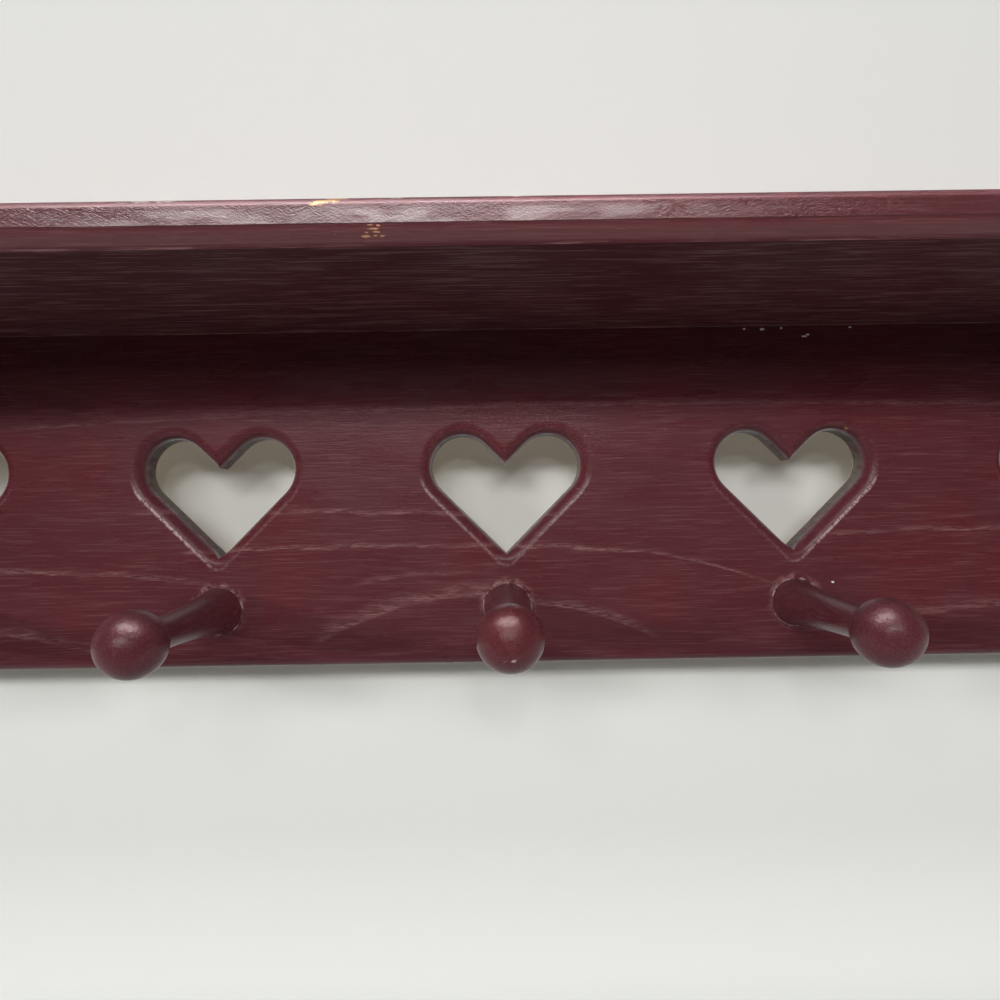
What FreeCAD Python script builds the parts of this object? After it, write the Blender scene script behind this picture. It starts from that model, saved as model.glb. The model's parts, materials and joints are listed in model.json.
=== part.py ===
import FreeCAD, Part
import enum
import math
import os
import Sketcher
from FreeCAD import Placement, Rotation, Vector

# Shaker peg rail with a shelf: a half inch board with a row of heart cut-outs, a turned
# peg under each heart, and a shelf on its top edge that a scrolled bracket carries at
# each end. All sizes are millimetres.
# Frame: +X runs along the rail, the back of the board is the plane y = 0 and the wall is
# on its +Y side, +Z is up. The origin is on the back, midway between the two keyhole
# hangers and level with the wall screws that they hang on.

doc = FreeCAD.newDocument("peg_rail")

# Driving sizes

SIZES = [
    ("shelf_overhang", 6.35, "how far the shelf reaches past each end of the back board"),
    ("shelf_depth", 107.95, "depth of the shelf, from the wall to its front edge"),
    ("shelf_thickness", 12.7, "thickness of the shelf"),
    ("shelf_top_round", 3.175, "round on the shelf's top edge, at the front and ends"),
    ("shelf_under_bevel", 4.7625, "bevel under the shelf's edge, at the front and ends"),
    ("board_end", 57.15, "distance of the last peg from the back board's end"),
    ("board_height", 139.7, "height of the back board, up to the shelf"),
    ("board_thickness", 12.7, "thickness of the back board"),
    ("board_round", 3.175, "round on the back board's front edges"),
    ("seam_rise", 25.4, "height of the board's top edge over the hanging line"),
    ("peg_count", 5, "number of pegs, and of hearts"),
    ("peg_pitch", 120.65, "distance from one peg to the next"),
    ("peg_rise", 23.8, "height of the pegs over the board's bottom edge"),
    ("peg_reach", 76.2, "how far a peg stands out of the board"),
    ("peg_ball_diameter", 22.225, "diameter of the ball at a peg's end"),
    ("peg_tip_flat", 3.2, "diameter of the flat that the lathe leaves on the ball"),
    ("peg_base_diameter", 19.05, "diameter of a peg where it meets the board"),
    ("peg_neck_diameter", 11.4, "diameter of a peg's neck behind the ball"),
    ("peg_taper_radius", 430.0, "radius of the slight hollow along a peg's taper"),
    ("peg_tenon_diameter", 12.7, "diameter of the tenon glued into the board"),
    ("peg_tenon_setback", 0.5, "how far a tenon's end stays below the board's back"),
    ("heart_rise", 58.75, "height of the centres of a heart's lobes over the pegs"),
    ("lobe_radius", 13.5, "radius of a heart's lobes"),
    ("lobe_offset", 18.1, "distance of a lobe's centre from the heart's middle"),
    ("heart_round", 4.7625, "round routed on the hearts' front edges"),
    ("router_bearing_diameter", 9.525, "bearing that guided the router round a heart"),
    ("bracket_thickness", 12.7, "thickness of an end bracket"),
    ("bracket_setback", 6.35, "distance of a bracket's nose behind the shelf's front edge"),
    ("bracket_nose", 15.9, "height of a bracket's square nose at the front"),
    ("bracket_toe", 9.5, "depth of a bracket's flat toe at the bottom"),
    ("bracket_hollow_radius", 46.0, "radius of the hollow in a bracket's scroll"),
    ("bracket_round", 1.6, "round on a bracket's scrolled edges"),
    ("screw_length", 31.75, "length of a wood screw, with its head"),
    ("screw_shank_diameter", 3.5, "diameter of a wood screw's shank"),
    ("screw_head_diameter", 6.8, "diameter of a wood screw's head"),
    ("screw_point", 5.0, "length of a wood screw's point"),
    ("plug_diameter", 9.525, "diameter of the plugs over the shelf's screws"),
    ("plug_thickness", 3.175, "thickness of those plugs"),
    ("bracket_screw_inset", 23.8, "distance of a bracket's rear screws from its top and foot"),
    ("hanger_length", 39.7, "length of a hanger plate"),
    ("hanger_width", 15.9, "width of a hanger plate"),
    ("hanger_thickness", 1.6, "thickness of a hanger plate"),
    ("hanger_top", 12.7, "height of a plate's top end over the hanging line"),
    ("hanger_hole_inset", 4.0, "distance of a plate's screw holes from its ends"),
    ("keyhole_entry_diameter", 9.525, "hole that lets the wall screw's head in"),
    ("keyhole_slot_width", 4.4, "slot that the wall screw's shank rises in"),
    ("keyhole_drop", 12.7, "distance from the hanging line down to the entry hole"),
    ("head_room_width", 11.2, "width of the pocket behind a plate"),
    ("head_room_depth", 8.0, "depth of that pocket from the board's back"),
    ("pin_screw_length", 9.5, "length of a hanger's fixing screw, with its head"),
    ("pin_screw_diameter", 2.6, "diameter of that screw's shank"),
    ("pin_screw_head_diameter", 5.2, "diameter of that screw's head"),
    ("pin_screw_point", 2.4, "length of that screw's point"),
    ("fit_clearance", 0.1, "room all round a tenon, screw, plug or plate in its hole"),
]

sheet = doc.addObject("Spreadsheet::Sheet", "Sizes")
for row, (alias, value, meaning) in enumerate(SIZES, start=1):
    sheet.set(f"A{row}", meaning)
    sheet.set(f"B{row}", str(value))
    sheet.setAlias(f"B{row}", alias)
doc.recompute()

# Places that several pieces share, as expressions on the sheet

ROW_LENGTH = "(Sizes.peg_count - 1) * Sizes.peg_pitch"
FIRST_PEG_X = f"-{ROW_LENGTH} / 2"
HANGER_X = f"({ROW_LENGTH} - Sizes.peg_pitch) / 2"
HALF_BOARD = f"({ROW_LENGTH} / 2 + Sizes.board_end)"
HALF_SHELF = f"({HALF_BOARD} + Sizes.shelf_overhang)"
PEG_DROP = "(Sizes.board_height - Sizes.peg_rise)"
HEART_DROP = f"({PEG_DROP} - Sizes.heart_rise)"
BRACKET_X = f"({HALF_BOARD} - Sizes.board_round - Sizes.bracket_thickness / 2)"
BRACKET_DEPTH = "(Sizes.shelf_depth - Sizes.board_thickness - Sizes.bracket_setback)"
BRACKET_HEIGHT = f"(Sizes.bracket_nose + {BRACKET_DEPTH} - Sizes.bracket_toe)"
BRACKET_SCREW_SET = f"{BRACKET_DEPTH} / 2"
BRACKET_SCREW_Y = f"(Sizes.board_thickness + {BRACKET_SCREW_SET})"
BRACKET_REAR_SCREWS = ("Sizes.bracket_screw_inset",
                       f"({BRACKET_HEIGHT} - Sizes.bracket_screw_inset)")
SCREW_HOLE_RADIUS = "(Sizes.screw_shank_diameter / 2 + Sizes.fit_clearance)"
SCREW_HEAD_HEIGHT = "((Sizes.screw_head_diameter - Sizes.screw_shank_diameter) / 2)"
SCREW_SEAT = "(Sizes.shelf_thickness - Sizes.plug_thickness)"
SCREW_GRIP = f"Sizes.screw_length - {SCREW_SEAT} + Sizes.fit_clearance"
PIN_HOLE_RADIUS = "(Sizes.pin_screw_diameter / 2 + Sizes.fit_clearance)"
PIN_HEAD_HEIGHT = "((Sizes.pin_screw_head_diameter - Sizes.pin_screw_diameter) / 2)"
PLATE_UPPER_HOLE = "(Sizes.hanger_top - Sizes.hanger_hole_inset)"
PLATE_LOWER_HOLE = "(Sizes.hanger_top - Sizes.hanger_length + Sizes.hanger_hole_inset)"

SHANK_SIZE = {"screw": "screw_shank_diameter", "pin_screw": "pin_screw_diameter"}
ROOT_POINT = (-1, 1)
H_AXIS, V_AXIS = enum.IntEnum("SketchAxis", {"H_AXIS": -1, "V_AXIS": -2})
START, END, CENTRE = enum.IntEnum("CurvePoint", "START END CENTRE")
THROUGH_ALL = 1
Z_TO_FRONT = Rotation(Vector(1, 0, 0), 90)
Z_TO_WALL = Rotation(Vector(1, 0, 0), -90)
TOLERANCE = 1e-4


def value(expression):
    """The number that an expression on the sheet comes to."""
    return float(sheet.evalExpression(expression))


def size(alias):
    """The number in a cell of the sheet."""
    return value(f"Sizes.{alias}")


# Helpers for bodies and sketches

def new_body(name):
    """A body whose name, label and file name are the same word."""
    body = doc.addObject("PartDesign::Body", name)
    body.Label = name
    return body


def place(item, x="0", y="0", z="0", turn=Rotation()):
    """Puts a piece in the part's frame, with each coordinate an expression."""
    item.Placement = Placement(Vector(0, 0, 0), turn)
    for axis, expression in (("x", x), ("y", y), ("z", z)):
        item.setExpression(f"Placement.Base.{axis}", expression)


def origin_plane(body, role):
    """One of a body's own three origin planes."""
    return next(plane for plane in body.Origin.OriginFeatures if plane.Role == role)


def new_sketch(body, name, role, x="0", y="0", lift="0"):
    """A sketch on an origin plane, its origin shifted by expressions."""
    sketch = body.newObject("Sketcher::SketchObject", name)
    sketch.AttachmentSupport = (origin_plane(body, role), [""])
    sketch.MapMode = "FlatFace"
    for axis, expression in (("x", x), ("y", y), ("z", lift)):
        sketch.setExpression(f"AttachmentOffset.Base.{axis}", expression)
    return sketch


def drive(sketch, name, expression, kind, *ends):
    """Adds a named dimension to a sketch and binds it to an expression."""
    index = sketch.addConstraint(Sketcher.Constraint(kind, *ends, value(expression)))
    sketch.renameConstraint(index, name)
    sketch.setExpression(f"Constraints.{name}", expression)


def tie(sketch, *constraints):
    """Adds constraints that have no size."""
    for constraint in constraints:
        sketch.addConstraint(Sketcher.Constraint(*constraint))


def join(sketch, kind, *pairs):
    """Joins the end of each piece of outline to the start of the next."""
    tie(sketch, *[(kind, first, END, second, START) for first, second in pairs])


def rectangle(sketch, half_length, depth):
    """A rectangle that hangs below the sketch's origin, and reaches as far to each side."""
    side, low = value(half_length), -value(depth)
    corners = [Vector(-side, low, 0), Vector(side, low, 0), Vector(side, 0, 0), Vector(-side, 0, 0)]
    outline(sketch, corners)
    tie(sketch, ("Horizontal", 0), ("Vertical", 1), ("Horizontal", 2), ("Vertical", 3),
        ("Symmetric", 2, START, 2, END, *ROOT_POINT))
    drive(sketch, "half_length", half_length, "DistanceX", *ROOT_POINT, 2, START)
    drive(sketch, "depth", depth, "DistanceY", 1, START, 1, END)


def outline(sketch, corners):
    """A closed outline of straight lines."""
    for i, corner in enumerate(corners):
        sketch.addGeometry(Part.LineSegment(corner, corners[(i + 1) % len(corners)]), False)
    join(sketch, "Coincident", *[(i, (i + 1) % len(corners)) for i in range(len(corners))])


def circle(sketch, radius, x="0", y="0", tag="hole"):
    """A circle of a driven radius about a driven point."""
    centre = Vector(value(x), value(y), 0)
    index = sketch.addGeometry(Part.Circle(centre, Vector(0, 0, 1), value(radius)), False)
    drive(sketch, f"{tag}_radius", radius, "Radius", index)
    drive(sketch, f"{tag}_x", x, "DistanceX", *ROOT_POINT, index, CENTRE)
    drive(sketch, f"{tag}_y", y, "DistanceY", *ROOT_POINT, index, CENTRE)


def obround(sketch, radius, top, bottom):
    """An upright slot: its radius, and its round ends' centres above and below the origin."""
    side = Vector(value(radius), 0, 0)
    up, down = Vector(0, value(top), 0), Vector(0, -value(bottom), 0)
    upper = Part.Circle(up, Vector(0, 0, 1), value(radius))
    lower = Part.Circle(down, Vector(0, 0, 1), value(radius))
    sketch.addGeometry([
        Part.ArcOfCircle(upper, 0, math.pi),
        Part.LineSegment(up - side, down - side),
        Part.ArcOfCircle(lower, math.pi, 2 * math.pi),
        Part.LineSegment(down + side, up + side)], False)
    join(sketch, "Tangent", (0, 1), (1, 2), (2, 3), (3, 0))
    tie(sketch, ("PointOnObject", 0, CENTRE, V_AXIS), ("Vertical", 1))
    drive(sketch, "radius", radius, "Radius", 0)
    drive(sketch, "top", top, "DistanceY", *ROOT_POINT, 0, CENTRE)
    drive(sketch, "bottom", bottom, "DistanceY", 2, CENTRE, *ROOT_POINT)


def pad(body, name, sketch, length):
    """Thickens a sketch along its normal."""
    feature = body.newObject("PartDesign::Pad", name)
    feature.Profile = sketch
    feature.setExpression("Length", length)
    sketch.Visibility = False
    doc.recompute()
    return feature


def pocket(body, name, sketch, depth=None, along_normal=True):
    """Cuts a sketch into the solid, to a depth or right through."""
    before = body.Shape.Volume
    feature = body.newObject("PartDesign::Pocket", name)
    feature.Profile = sketch
    feature.Reversed = along_normal
    if depth is None:
        feature.Type = THROUGH_ALL
    else:
        feature.setExpression("Length", depth)
    sketch.Visibility = False
    doc.recompute()
    if body.Shape.Volume > before - TOLERANCE:
        raise RuntimeError(f"{name} cuts nothing")
    return feature


def row_of(body, name, original, axis_sketch):
    """Repeats a cut at every peg, along the row."""
    pattern = body.newObject("PartDesign::LinearPattern", name)
    pattern.Originals = [original]
    pattern.Direction = (axis_sketch, ["H_Axis"])
    pattern.setExpression("Length", ROW_LENGTH)
    pattern.setExpression("Occurrences", "Sizes.peg_count")
    body.Tip = pattern
    doc.recompute()
    return pattern


def mirrored(body, name, originals, plane_sketch):
    """Repeats cuts on the other side of the sketch's vertical axis."""
    feature = body.newObject("PartDesign::Mirrored", name)
    feature.Originals = originals
    feature.MirrorPlane = (plane_sketch, ["V_Axis"])
    body.Tip = feature
    doc.recompute()
    return feature


def edges_where(feature, test):
    """The names of a feature's edges that pass a test, for a fillet or chamfer."""
    return [f"Edge{i}" for i, edge in enumerate(feature.Shape.Edges, start=1) if test(edge)]


def ease(body, kind, name, base, edges, width):
    """A fillet or chamfer of a driven width on the chosen edges."""
    feature = body.newObject(f"PartDesign::{kind}", name)
    feature.Base = (base, edges)
    feature.setExpression("Radius" if kind == "Fillet" else "Size", width)
    body.Tip = feature
    doc.recompute()
    return feature


def on_plane(edge, axis, value):
    """Whether the whole of an edge lies where one coordinate has one value."""
    box = edge.BoundBox
    low, high = getattr(box, f"{axis}Min"), getattr(box, f"{axis}Max")
    return abs(low - value) < TOLERANCE and abs(high - value) < TOLERANCE


# Heart outline

def heart(sketch, tip_radius=None):
    """Two lobes joined by tangents that meet square at the notch and at the point.

    The sketch's origin is midway between the lobes' centres. With a tip radius the point
    is rounded, as the bearing of a router leaves it.
    """
    offset, radius = size("lobe_offset"), size("lobe_radius")
    bend = radius / math.sqrt(2)
    left_in, left_out = Vector(bend - offset, bend, 0), Vector(-bend - offset, -bend, 0)
    right_in, right_out = Vector(offset - bend, bend, 0), Vector(offset + bend, -bend, 0)
    notch = Vector(0, left_in.x + left_in.y, 0)
    point = Vector(0, left_out.x + left_out.y, 0)
    left_top, right_top = Vector(-offset, radius, 0), Vector(offset, radius, 0)
    left_end = right_end = point
    if tip_radius:
        run = value(tip_radius) / math.sqrt(2)
        left_end, right_end = point + Vector(-run, run, 0), point + Vector(run, run, 0)
    sketch.addGeometry([
        Part.Arc(left_in, left_top, left_out),
        Part.LineSegment(left_out, left_end),
        Part.LineSegment(right_end, right_out),
        Part.Arc(right_out, right_top, right_in),
        Part.LineSegment(right_in, notch),
        Part.LineSegment(notch, left_in)], False)
    join(sketch, "Tangent", (0, 1), (2, 3), (3, 4), (5, 0))
    join(sketch, "Coincident", (4, 5))
    tie(sketch, ("PointOnObject", 0, CENTRE, H_AXIS), ("Symmetric", 0, CENTRE, 3, CENTRE, V_AXIS),
        ("Equal", 0, 3), ("PointOnObject", 4, END, V_AXIS),
        ("Perpendicular", 4, 5), ("Perpendicular", 1, 2))
    if tip_radius:
        lowest = point + Vector(0, run + run - value(tip_radius), 0)
        tip = sketch.addGeometry(Part.Arc(left_end, lowest, right_end), False)
        join(sketch, "Tangent", (1, tip), (tip, 2))
        tie(sketch, ("PointOnObject", tip, CENTRE, V_AXIS))
        drive(sketch, "tip_radius", tip_radius, "Radius", tip)
    else:
        join(sketch, "Coincident", (1, 2))
        tie(sketch, ("PointOnObject", 1, END, V_AXIS))
    drive(sketch, "lobe_radius", "Sizes.lobe_radius", "Radius", 0)
    drive(sketch, "lobe_offset", "Sizes.lobe_offset", "DistanceX", 0, CENTRE, *ROOT_POINT)


# Back board, with its top edge at the height of its own origin

def make_back_board():
    """The board that the pegs, shelf, brackets and hangers are fixed to."""
    body = new_body("back_board")
    blank = new_sketch(body, "board_outline", "XZ_Plane")
    rectangle(blank, HALF_BOARD, "Sizes.board_height")
    pad(body, "board_blank", blank, "Sizes.board_thickness")

    # The router's bearing runs round the sawn heart and can't reach into its point, so
    # the round on the front edge turns the point in an arc.
    routed = new_sketch(body, "heart_routed", "XZ_Plane", FIRST_PEG_X, f"-{HEART_DROP}")
    heart(routed, "Sizes.router_bearing_diameter / 2")
    first = pocket(body, "heart_routed_cut", routed)
    hearts = row_of(body, "heart_routed_row", first, routed)

    front, bottom = -size("board_thickness"), -size("board_height")
    end = value(HALF_BOARD)

    def is_outer(edge):
        return (on_plane(edge, "X", end) or on_plane(edge, "X", -end)
                or on_plane(edge, "Z", bottom))

    def is_top(edge):
        return on_plane(edge, "Z", 0)

    heart_edges = edges_where(hearts, lambda edge: on_plane(edge, "Y", front)
                              and not is_outer(edge) and not is_top(edge))
    rounded = ease(body, "Fillet", "heart_round", hearts, heart_edges, "Sizes.heart_round")
    outer_edges = edges_where(rounded, lambda edge: on_plane(edge, "Y", front) and is_outer(edge))
    ease(body, "Fillet", "board_round", rounded, outer_edges, "Sizes.board_round")

    sawn = new_sketch(body, "heart_sawn", "XZ_Plane", FIRST_PEG_X, f"-{HEART_DROP}")
    heart(sawn)
    row_of(body, "heart_sawn_row", pocket(body, "heart_sawn_cut", sawn), sawn)

    bores = new_sketch(body, "peg_bore", "XZ_Plane", FIRST_PEG_X, f"-{PEG_DROP}")
    circle(bores, "Sizes.peg_tenon_diameter / 2 + Sizes.fit_clearance")
    row_of(body, "peg_bore_row", pocket(body, "peg_bore_cut", bores), bores)

    make_hanger_seats(body)
    make_board_screw_holes(body)
    place(body, z="Sizes.seam_rise")
    return body


def make_hanger_seats(body):
    """Recess, head pocket and screw holes for the two hanger plates, in the back."""
    side, level = HANGER_X, "-Sizes.seam_rise"
    radius = "Sizes.hanger_width / 2"
    recess = new_sketch(body, "hanger_recess", "XZ_Plane", side, level)
    obround(recess, f"{radius} + Sizes.fit_clearance", f"Sizes.hanger_top - {radius}",
            f"Sizes.hanger_length - Sizes.hanger_top - {radius}")
    recess_cut = pocket(body, "hanger_recess_cut", recess, "Sizes.hanger_thickness")

    room = new_sketch(body, "head_room", "XZ_Plane", side, level)
    obround(room, "Sizes.head_room_width / 2", "0", "Sizes.keyhole_drop")
    room_cut = pocket(body, "head_room_cut", room, "Sizes.head_room_depth")

    pins = new_sketch(body, "hanger_screw_holes", "XZ_Plane", side, level)
    circle(pins, PIN_HOLE_RADIUS, y=PLATE_UPPER_HOLE, tag="upper")
    circle(pins, PIN_HOLE_RADIUS, y=PLATE_LOWER_HOLE, tag="lower")
    pins_cut = pocket(body, "hanger_screw_holes_cut", pins,
                      "Sizes.pin_screw_length + Sizes.fit_clearance")
    middle = new_sketch(body, "board_middle", "XZ_Plane")
    mirrored(body, "hanger_seats_mirrored", [recess_cut, room_cut, pins_cut], middle)


def make_board_screw_holes(body):
    """Holes for the shelf's screws in the top edge and for the brackets' in the back."""
    top = new_sketch(body, "top_screw_hole", "XY_Plane", FIRST_PEG_X, "-Sizes.board_thickness / 2")
    circle(top, SCREW_HOLE_RADIUS)
    first = pocket(body, "top_screw_hole_cut", top, SCREW_GRIP, along_normal=False)
    row_of(body, "top_screw_hole_row", first, top)

    back = new_sketch(body, "rear_screw_holes", "XZ_Plane")
    for number, (x, drop) in enumerate(bracket_screw_places(), start=1):
        circle(back, SCREW_HOLE_RADIUS, x, f"-{drop}", f"hole_{number}")
    through = pocket(body, "rear_screw_holes_cut", back)
    hole = size("screw_shank_diameter") / 2 + size("fit_clearance")
    mouths = edges_where(through, lambda edge: on_plane(edge, "Y", 0) and is_circle(edge, hole))
    ease(body, "Chamfer", "rear_countersinks", through, mouths, SCREW_HEAD_HEIGHT)


def bracket_screw_places():
    """Where screws pass through the board into the brackets: x, and depth under the shelf."""
    return [(sign + BRACKET_X, drop) for sign in ("-", "") for drop in BRACKET_REAR_SCREWS]


def is_circle(edge, radius):
    """Whether an edge is a whole circle of one radius."""
    return (isinstance(edge.Curve, Part.Circle) and edge.isClosed()
            and abs(edge.Curve.Radius - radius) < TOLERANCE)


# Shelf, with its underside at the height of its own origin

def make_shelf_board():
    """The shelf, its front and end edges rounded above and bevelled below."""
    body = new_body("shelf_board")
    blank = new_sketch(body, "shelf_outline", "XY_Plane")
    rectangle(blank, HALF_SHELF, "Sizes.shelf_depth")
    solid = pad(body, "shelf_blank", blank, "Sizes.shelf_thickness")
    front, end = -size("shelf_depth"), value(HALF_SHELF)

    def is_shown(edge):
        return (on_plane(edge, "Y", front) or on_plane(edge, "X", end)
                or on_plane(edge, "X", -end))

    under = edges_where(solid, lambda edge: on_plane(edge, "Z", 0) and is_shown(edge))
    bevelled = ease(body, "Chamfer", "shelf_bevel", solid, under, "Sizes.shelf_under_bevel")
    top = size("shelf_thickness")
    over = edges_where(bevelled, lambda edge: on_plane(edge, "Z", top) and is_shown(edge))
    ease(body, "Fillet", "shelf_round", bevelled, over, "Sizes.shelf_top_round")

    row_y = "-Sizes.board_thickness / 2"
    through = new_sketch(body, "shelf_screw_hole", "XY_Plane", FIRST_PEG_X, row_y)
    circle(through, SCREW_HOLE_RADIUS)
    row_of(body, "shelf_screw_hole_row", pocket(body, "shelf_screw_hole_cut", through), through)
    ends = new_sketch(body, "bracket_screw_holes", "XY_Plane")
    circle(ends, SCREW_HOLE_RADIUS, f"-{BRACKET_X}", f"-{BRACKET_SCREW_Y}", "left")
    circle(ends, SCREW_HOLE_RADIUS, BRACKET_X, f"-{BRACKET_SCREW_Y}", "right")
    pocket(body, "bracket_screw_holes_cut", ends)

    lift = "Sizes.shelf_thickness"
    plug_radius = "Sizes.plug_diameter / 2 + Sizes.fit_clearance"
    seat = new_sketch(body, "plug_seat", "XY_Plane", FIRST_PEG_X, row_y, lift)
    circle(seat, plug_radius)
    seat_cut = pocket(body, "plug_seat_cut", seat, "Sizes.plug_thickness", along_normal=False)
    row_of(body, "plug_seat_row", seat_cut, seat)
    end_seats = new_sketch(body, "bracket_plug_seats", "XY_Plane", lift=lift)
    circle(end_seats, plug_radius, f"-{BRACKET_X}", f"-{BRACKET_SCREW_Y}", "left")
    circle(end_seats, plug_radius, BRACKET_X, f"-{BRACKET_SCREW_Y}", "right")
    seats = pocket(body, "bracket_plug_seats_cut", end_seats, "Sizes.plug_thickness",
                   along_normal=False)
    floor = size("shelf_thickness") - size("plug_thickness")
    hole = size("screw_shank_diameter") / 2 + size("fit_clearance")
    mouths = edges_where(seats, lambda edge: on_plane(edge, "Z", floor) and is_circle(edge, hole))
    ease(body, "Chamfer", "shelf_countersinks", seats, mouths, SCREW_HEAD_HEIGHT)
    place(body, z="Sizes.seam_rise")
    return body


# Brackets, each with its own origin in the corner of the board and the shelf

def make_bracket(name, x):
    """One scrolled bracket: a square nose, a hollow, a full curve and a flat toe."""
    body = new_body(name)
    depth, nose, toe = value(BRACKET_DEPTH), size("bracket_nose"), size("bracket_toe")
    hollow = size("bracket_hollow_radius")
    full = depth - toe - hollow
    bend = math.sqrt(0.5)
    corner, tip, brow = Vector(0, 0, 0), Vector(-depth, 0, 0), Vector(-depth, -nose, 0)
    turn = Vector(hollow - depth, -nose - hollow, 0)
    toe_end = Vector(-toe, turn.y - full, 0)
    heel = Vector(0, toe_end.y, 0)
    scroll = new_sketch(body, f"{name}_outline", "YZ_Plane")
    scroll.addGeometry([
        Part.LineSegment(corner, tip),
        Part.LineSegment(tip, brow),
        Part.Arc(turn, brow + Vector(hollow * bend, hollow * (bend - 1), 0), brow),
        Part.Arc(turn, turn + Vector(full * (1 - bend), -full * bend, 0), toe_end),
        Part.LineSegment(toe_end, heel),
        Part.LineSegment(heel, corner)], False)
    join(scroll, "Coincident", (0, 1), (4, 5), (5, 0))
    tie(scroll, ("Horizontal", 0), ("Vertical", 1), ("Horizontal", 4), ("Vertical", 5),
        ("Coincident", 0, START, *ROOT_POINT), ("Coincident", 1, END, 2, END),
        ("Vertical", 2, CENTRE, 2, END), ("Horizontal", 2, CENTRE, 2, START),
        ("Tangent", 2, START, 3, START), ("Tangent", 3, END, 4, START))
    drive(scroll, "depth", BRACKET_DEPTH, "DistanceX", 0, END, 0, START)
    drive(scroll, "nose", "Sizes.bracket_nose", "DistanceY", 1, END, 1, START)
    drive(scroll, "toe", "Sizes.bracket_toe", "DistanceX", 4, START, 4, END)
    drive(scroll, "hollow", "Sizes.bracket_hollow_radius", "Radius", 2)
    pad(body, f"{name}_blank", scroll, "Sizes.bracket_thickness")

    middle = "Sizes.bracket_thickness / 2"
    rear = new_sketch(body, f"{name}_rear_holes", "XZ_Plane")
    for tag, drop in zip(("upper", "lower"), BRACKET_REAR_SCREWS):
        circle(rear, SCREW_HOLE_RADIUS, middle, f"-{drop}", tag)
    pocket(body, f"{name}_rear_holes_cut", rear,
           "Sizes.screw_length - Sizes.board_thickness + Sizes.fit_clearance")
    top = new_sketch(body, f"{name}_top_hole", "XY_Plane")
    circle(top, SCREW_HOLE_RADIUS, middle, f"-{BRACKET_SCREW_SET}")
    drilled = pocket(body, f"{name}_top_hole_cut", top, SCREW_GRIP, along_normal=False)

    side = size("bracket_thickness")
    shown = edges_where(drilled, lambda edge: (on_plane(edge, "X", 0) or on_plane(edge, "X", side))
                        and not on_plane(edge, "Y", 0) and not on_plane(edge, "Z", 0))
    ease(body, "Fillet", f"{name}_round", drilled, shown, "Sizes.bracket_round")
    place(body, f"{x} - {middle}", "-Sizes.board_thickness", "Sizes.seam_rise")
    return body


# Turned pieces, each drawn as half its outline and turned about its own Z axis

def turned(body, sketch):
    """Turns a half outline about the sketch's upright axis."""
    feature = body.newObject("PartDesign::Revolution", f"{sketch.Name}_turned")
    feature.Profile = sketch
    feature.ReferenceAxis = (sketch, ["V_Axis"])
    sketch.Visibility = False
    doc.recompute()
    return feature


def make_peg(number):
    """A turned peg: tenon, shoulder, long taper, ball, and the lathe's flat at its tip."""
    name = f"peg_{number}"
    body = new_body(name)
    tenon, base = size("peg_tenon_diameter") / 2, size("peg_base_diameter") / 2
    neck, ball = size("peg_neck_diameter") / 2, size("peg_ball_diameter") / 2
    flat, reach = size("peg_tip_flat") / 2, size("peg_reach")
    back = size("peg_tenon_setback") - size("board_thickness")
    centre = reach - math.sqrt(ball ** 2 - flat ** 2)
    throat = Vector(neck, centre - math.sqrt(ball ** 2 - neck ** 2), 0)
    shoulder, tip = Vector(base, 0, 0), Vector(flat, reach, 0)
    profile = new_sketch(body, f"{name}_outline", "XZ_Plane")
    profile.addGeometry([
        Part.LineSegment(Vector(0, back, 0), Vector(tenon, back, 0)),
        Part.LineSegment(Vector(tenon, back, 0), Vector(tenon, 0, 0)),
        Part.LineSegment(Vector(tenon, 0, 0), shoulder),
        Part.Arc(throat, hollow_middle(shoulder, throat), shoulder),
        Part.Arc(throat, Vector(ball, centre, 0), tip),
        Part.LineSegment(tip, Vector(0, reach, 0)),
        Part.LineSegment(Vector(0, reach, 0), Vector(0, back, 0))], False)
    join(profile, "Coincident", (0, 1), (1, 2), (4, 5), (5, 6), (6, 0))
    tie(profile, ("Horizontal", 0), ("Vertical", 1), ("Horizontal", 2), ("Horizontal", 5),
        ("Vertical", 6), ("Coincident", 2, END, 3, END), ("Coincident", 3, START, 4, START),
        ("PointOnObject", 0, START, V_AXIS), ("PointOnObject", 2, START, H_AXIS),
        ("PointOnObject", 4, CENTRE, V_AXIS))
    drive(profile, "tenon_radius", "Sizes.peg_tenon_diameter / 2", "DistanceX", 0, START, 0, END)
    drive(profile, "tenon_length", "Sizes.board_thickness - Sizes.peg_tenon_setback",
          "DistanceY", 0, START, *ROOT_POINT)
    drive(profile, "base_radius", "Sizes.peg_base_diameter / 2",
          "DistanceX", *ROOT_POINT, 2, END)
    drive(profile, "neck_radius", "Sizes.peg_neck_diameter / 2",
          "DistanceX", *ROOT_POINT, 3, START)
    drive(profile, "taper_radius", "Sizes.peg_taper_radius", "Radius", 3)
    drive(profile, "ball_radius", "Sizes.peg_ball_diameter / 2", "Radius", 4)
    drive(profile, "flat_radius", "Sizes.peg_tip_flat / 2", "DistanceX", 5, END, 5, START)
    drive(profile, "reach", "Sizes.peg_reach", "DistanceY", *ROOT_POINT, 5, END)
    turned(body, profile)
    place(body, f"{FIRST_PEG_X} + {number - 1} * Sizes.peg_pitch", "-Sizes.board_thickness",
          f"Sizes.seam_rise - {PEG_DROP}", Z_TO_FRONT)
    return body


def hollow_middle(start, end):
    """The point midway along the peg's hollow between two points of its taper."""
    radius = size("peg_taper_radius")
    depth = radius - math.sqrt(radius ** 2 - start.distanceToPoint(end) ** 2 / 4)
    inward = (end - start).normalize().cross(Vector(0, 0, 1)) * -1
    return (start + end) / 2 + inward * depth


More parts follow.
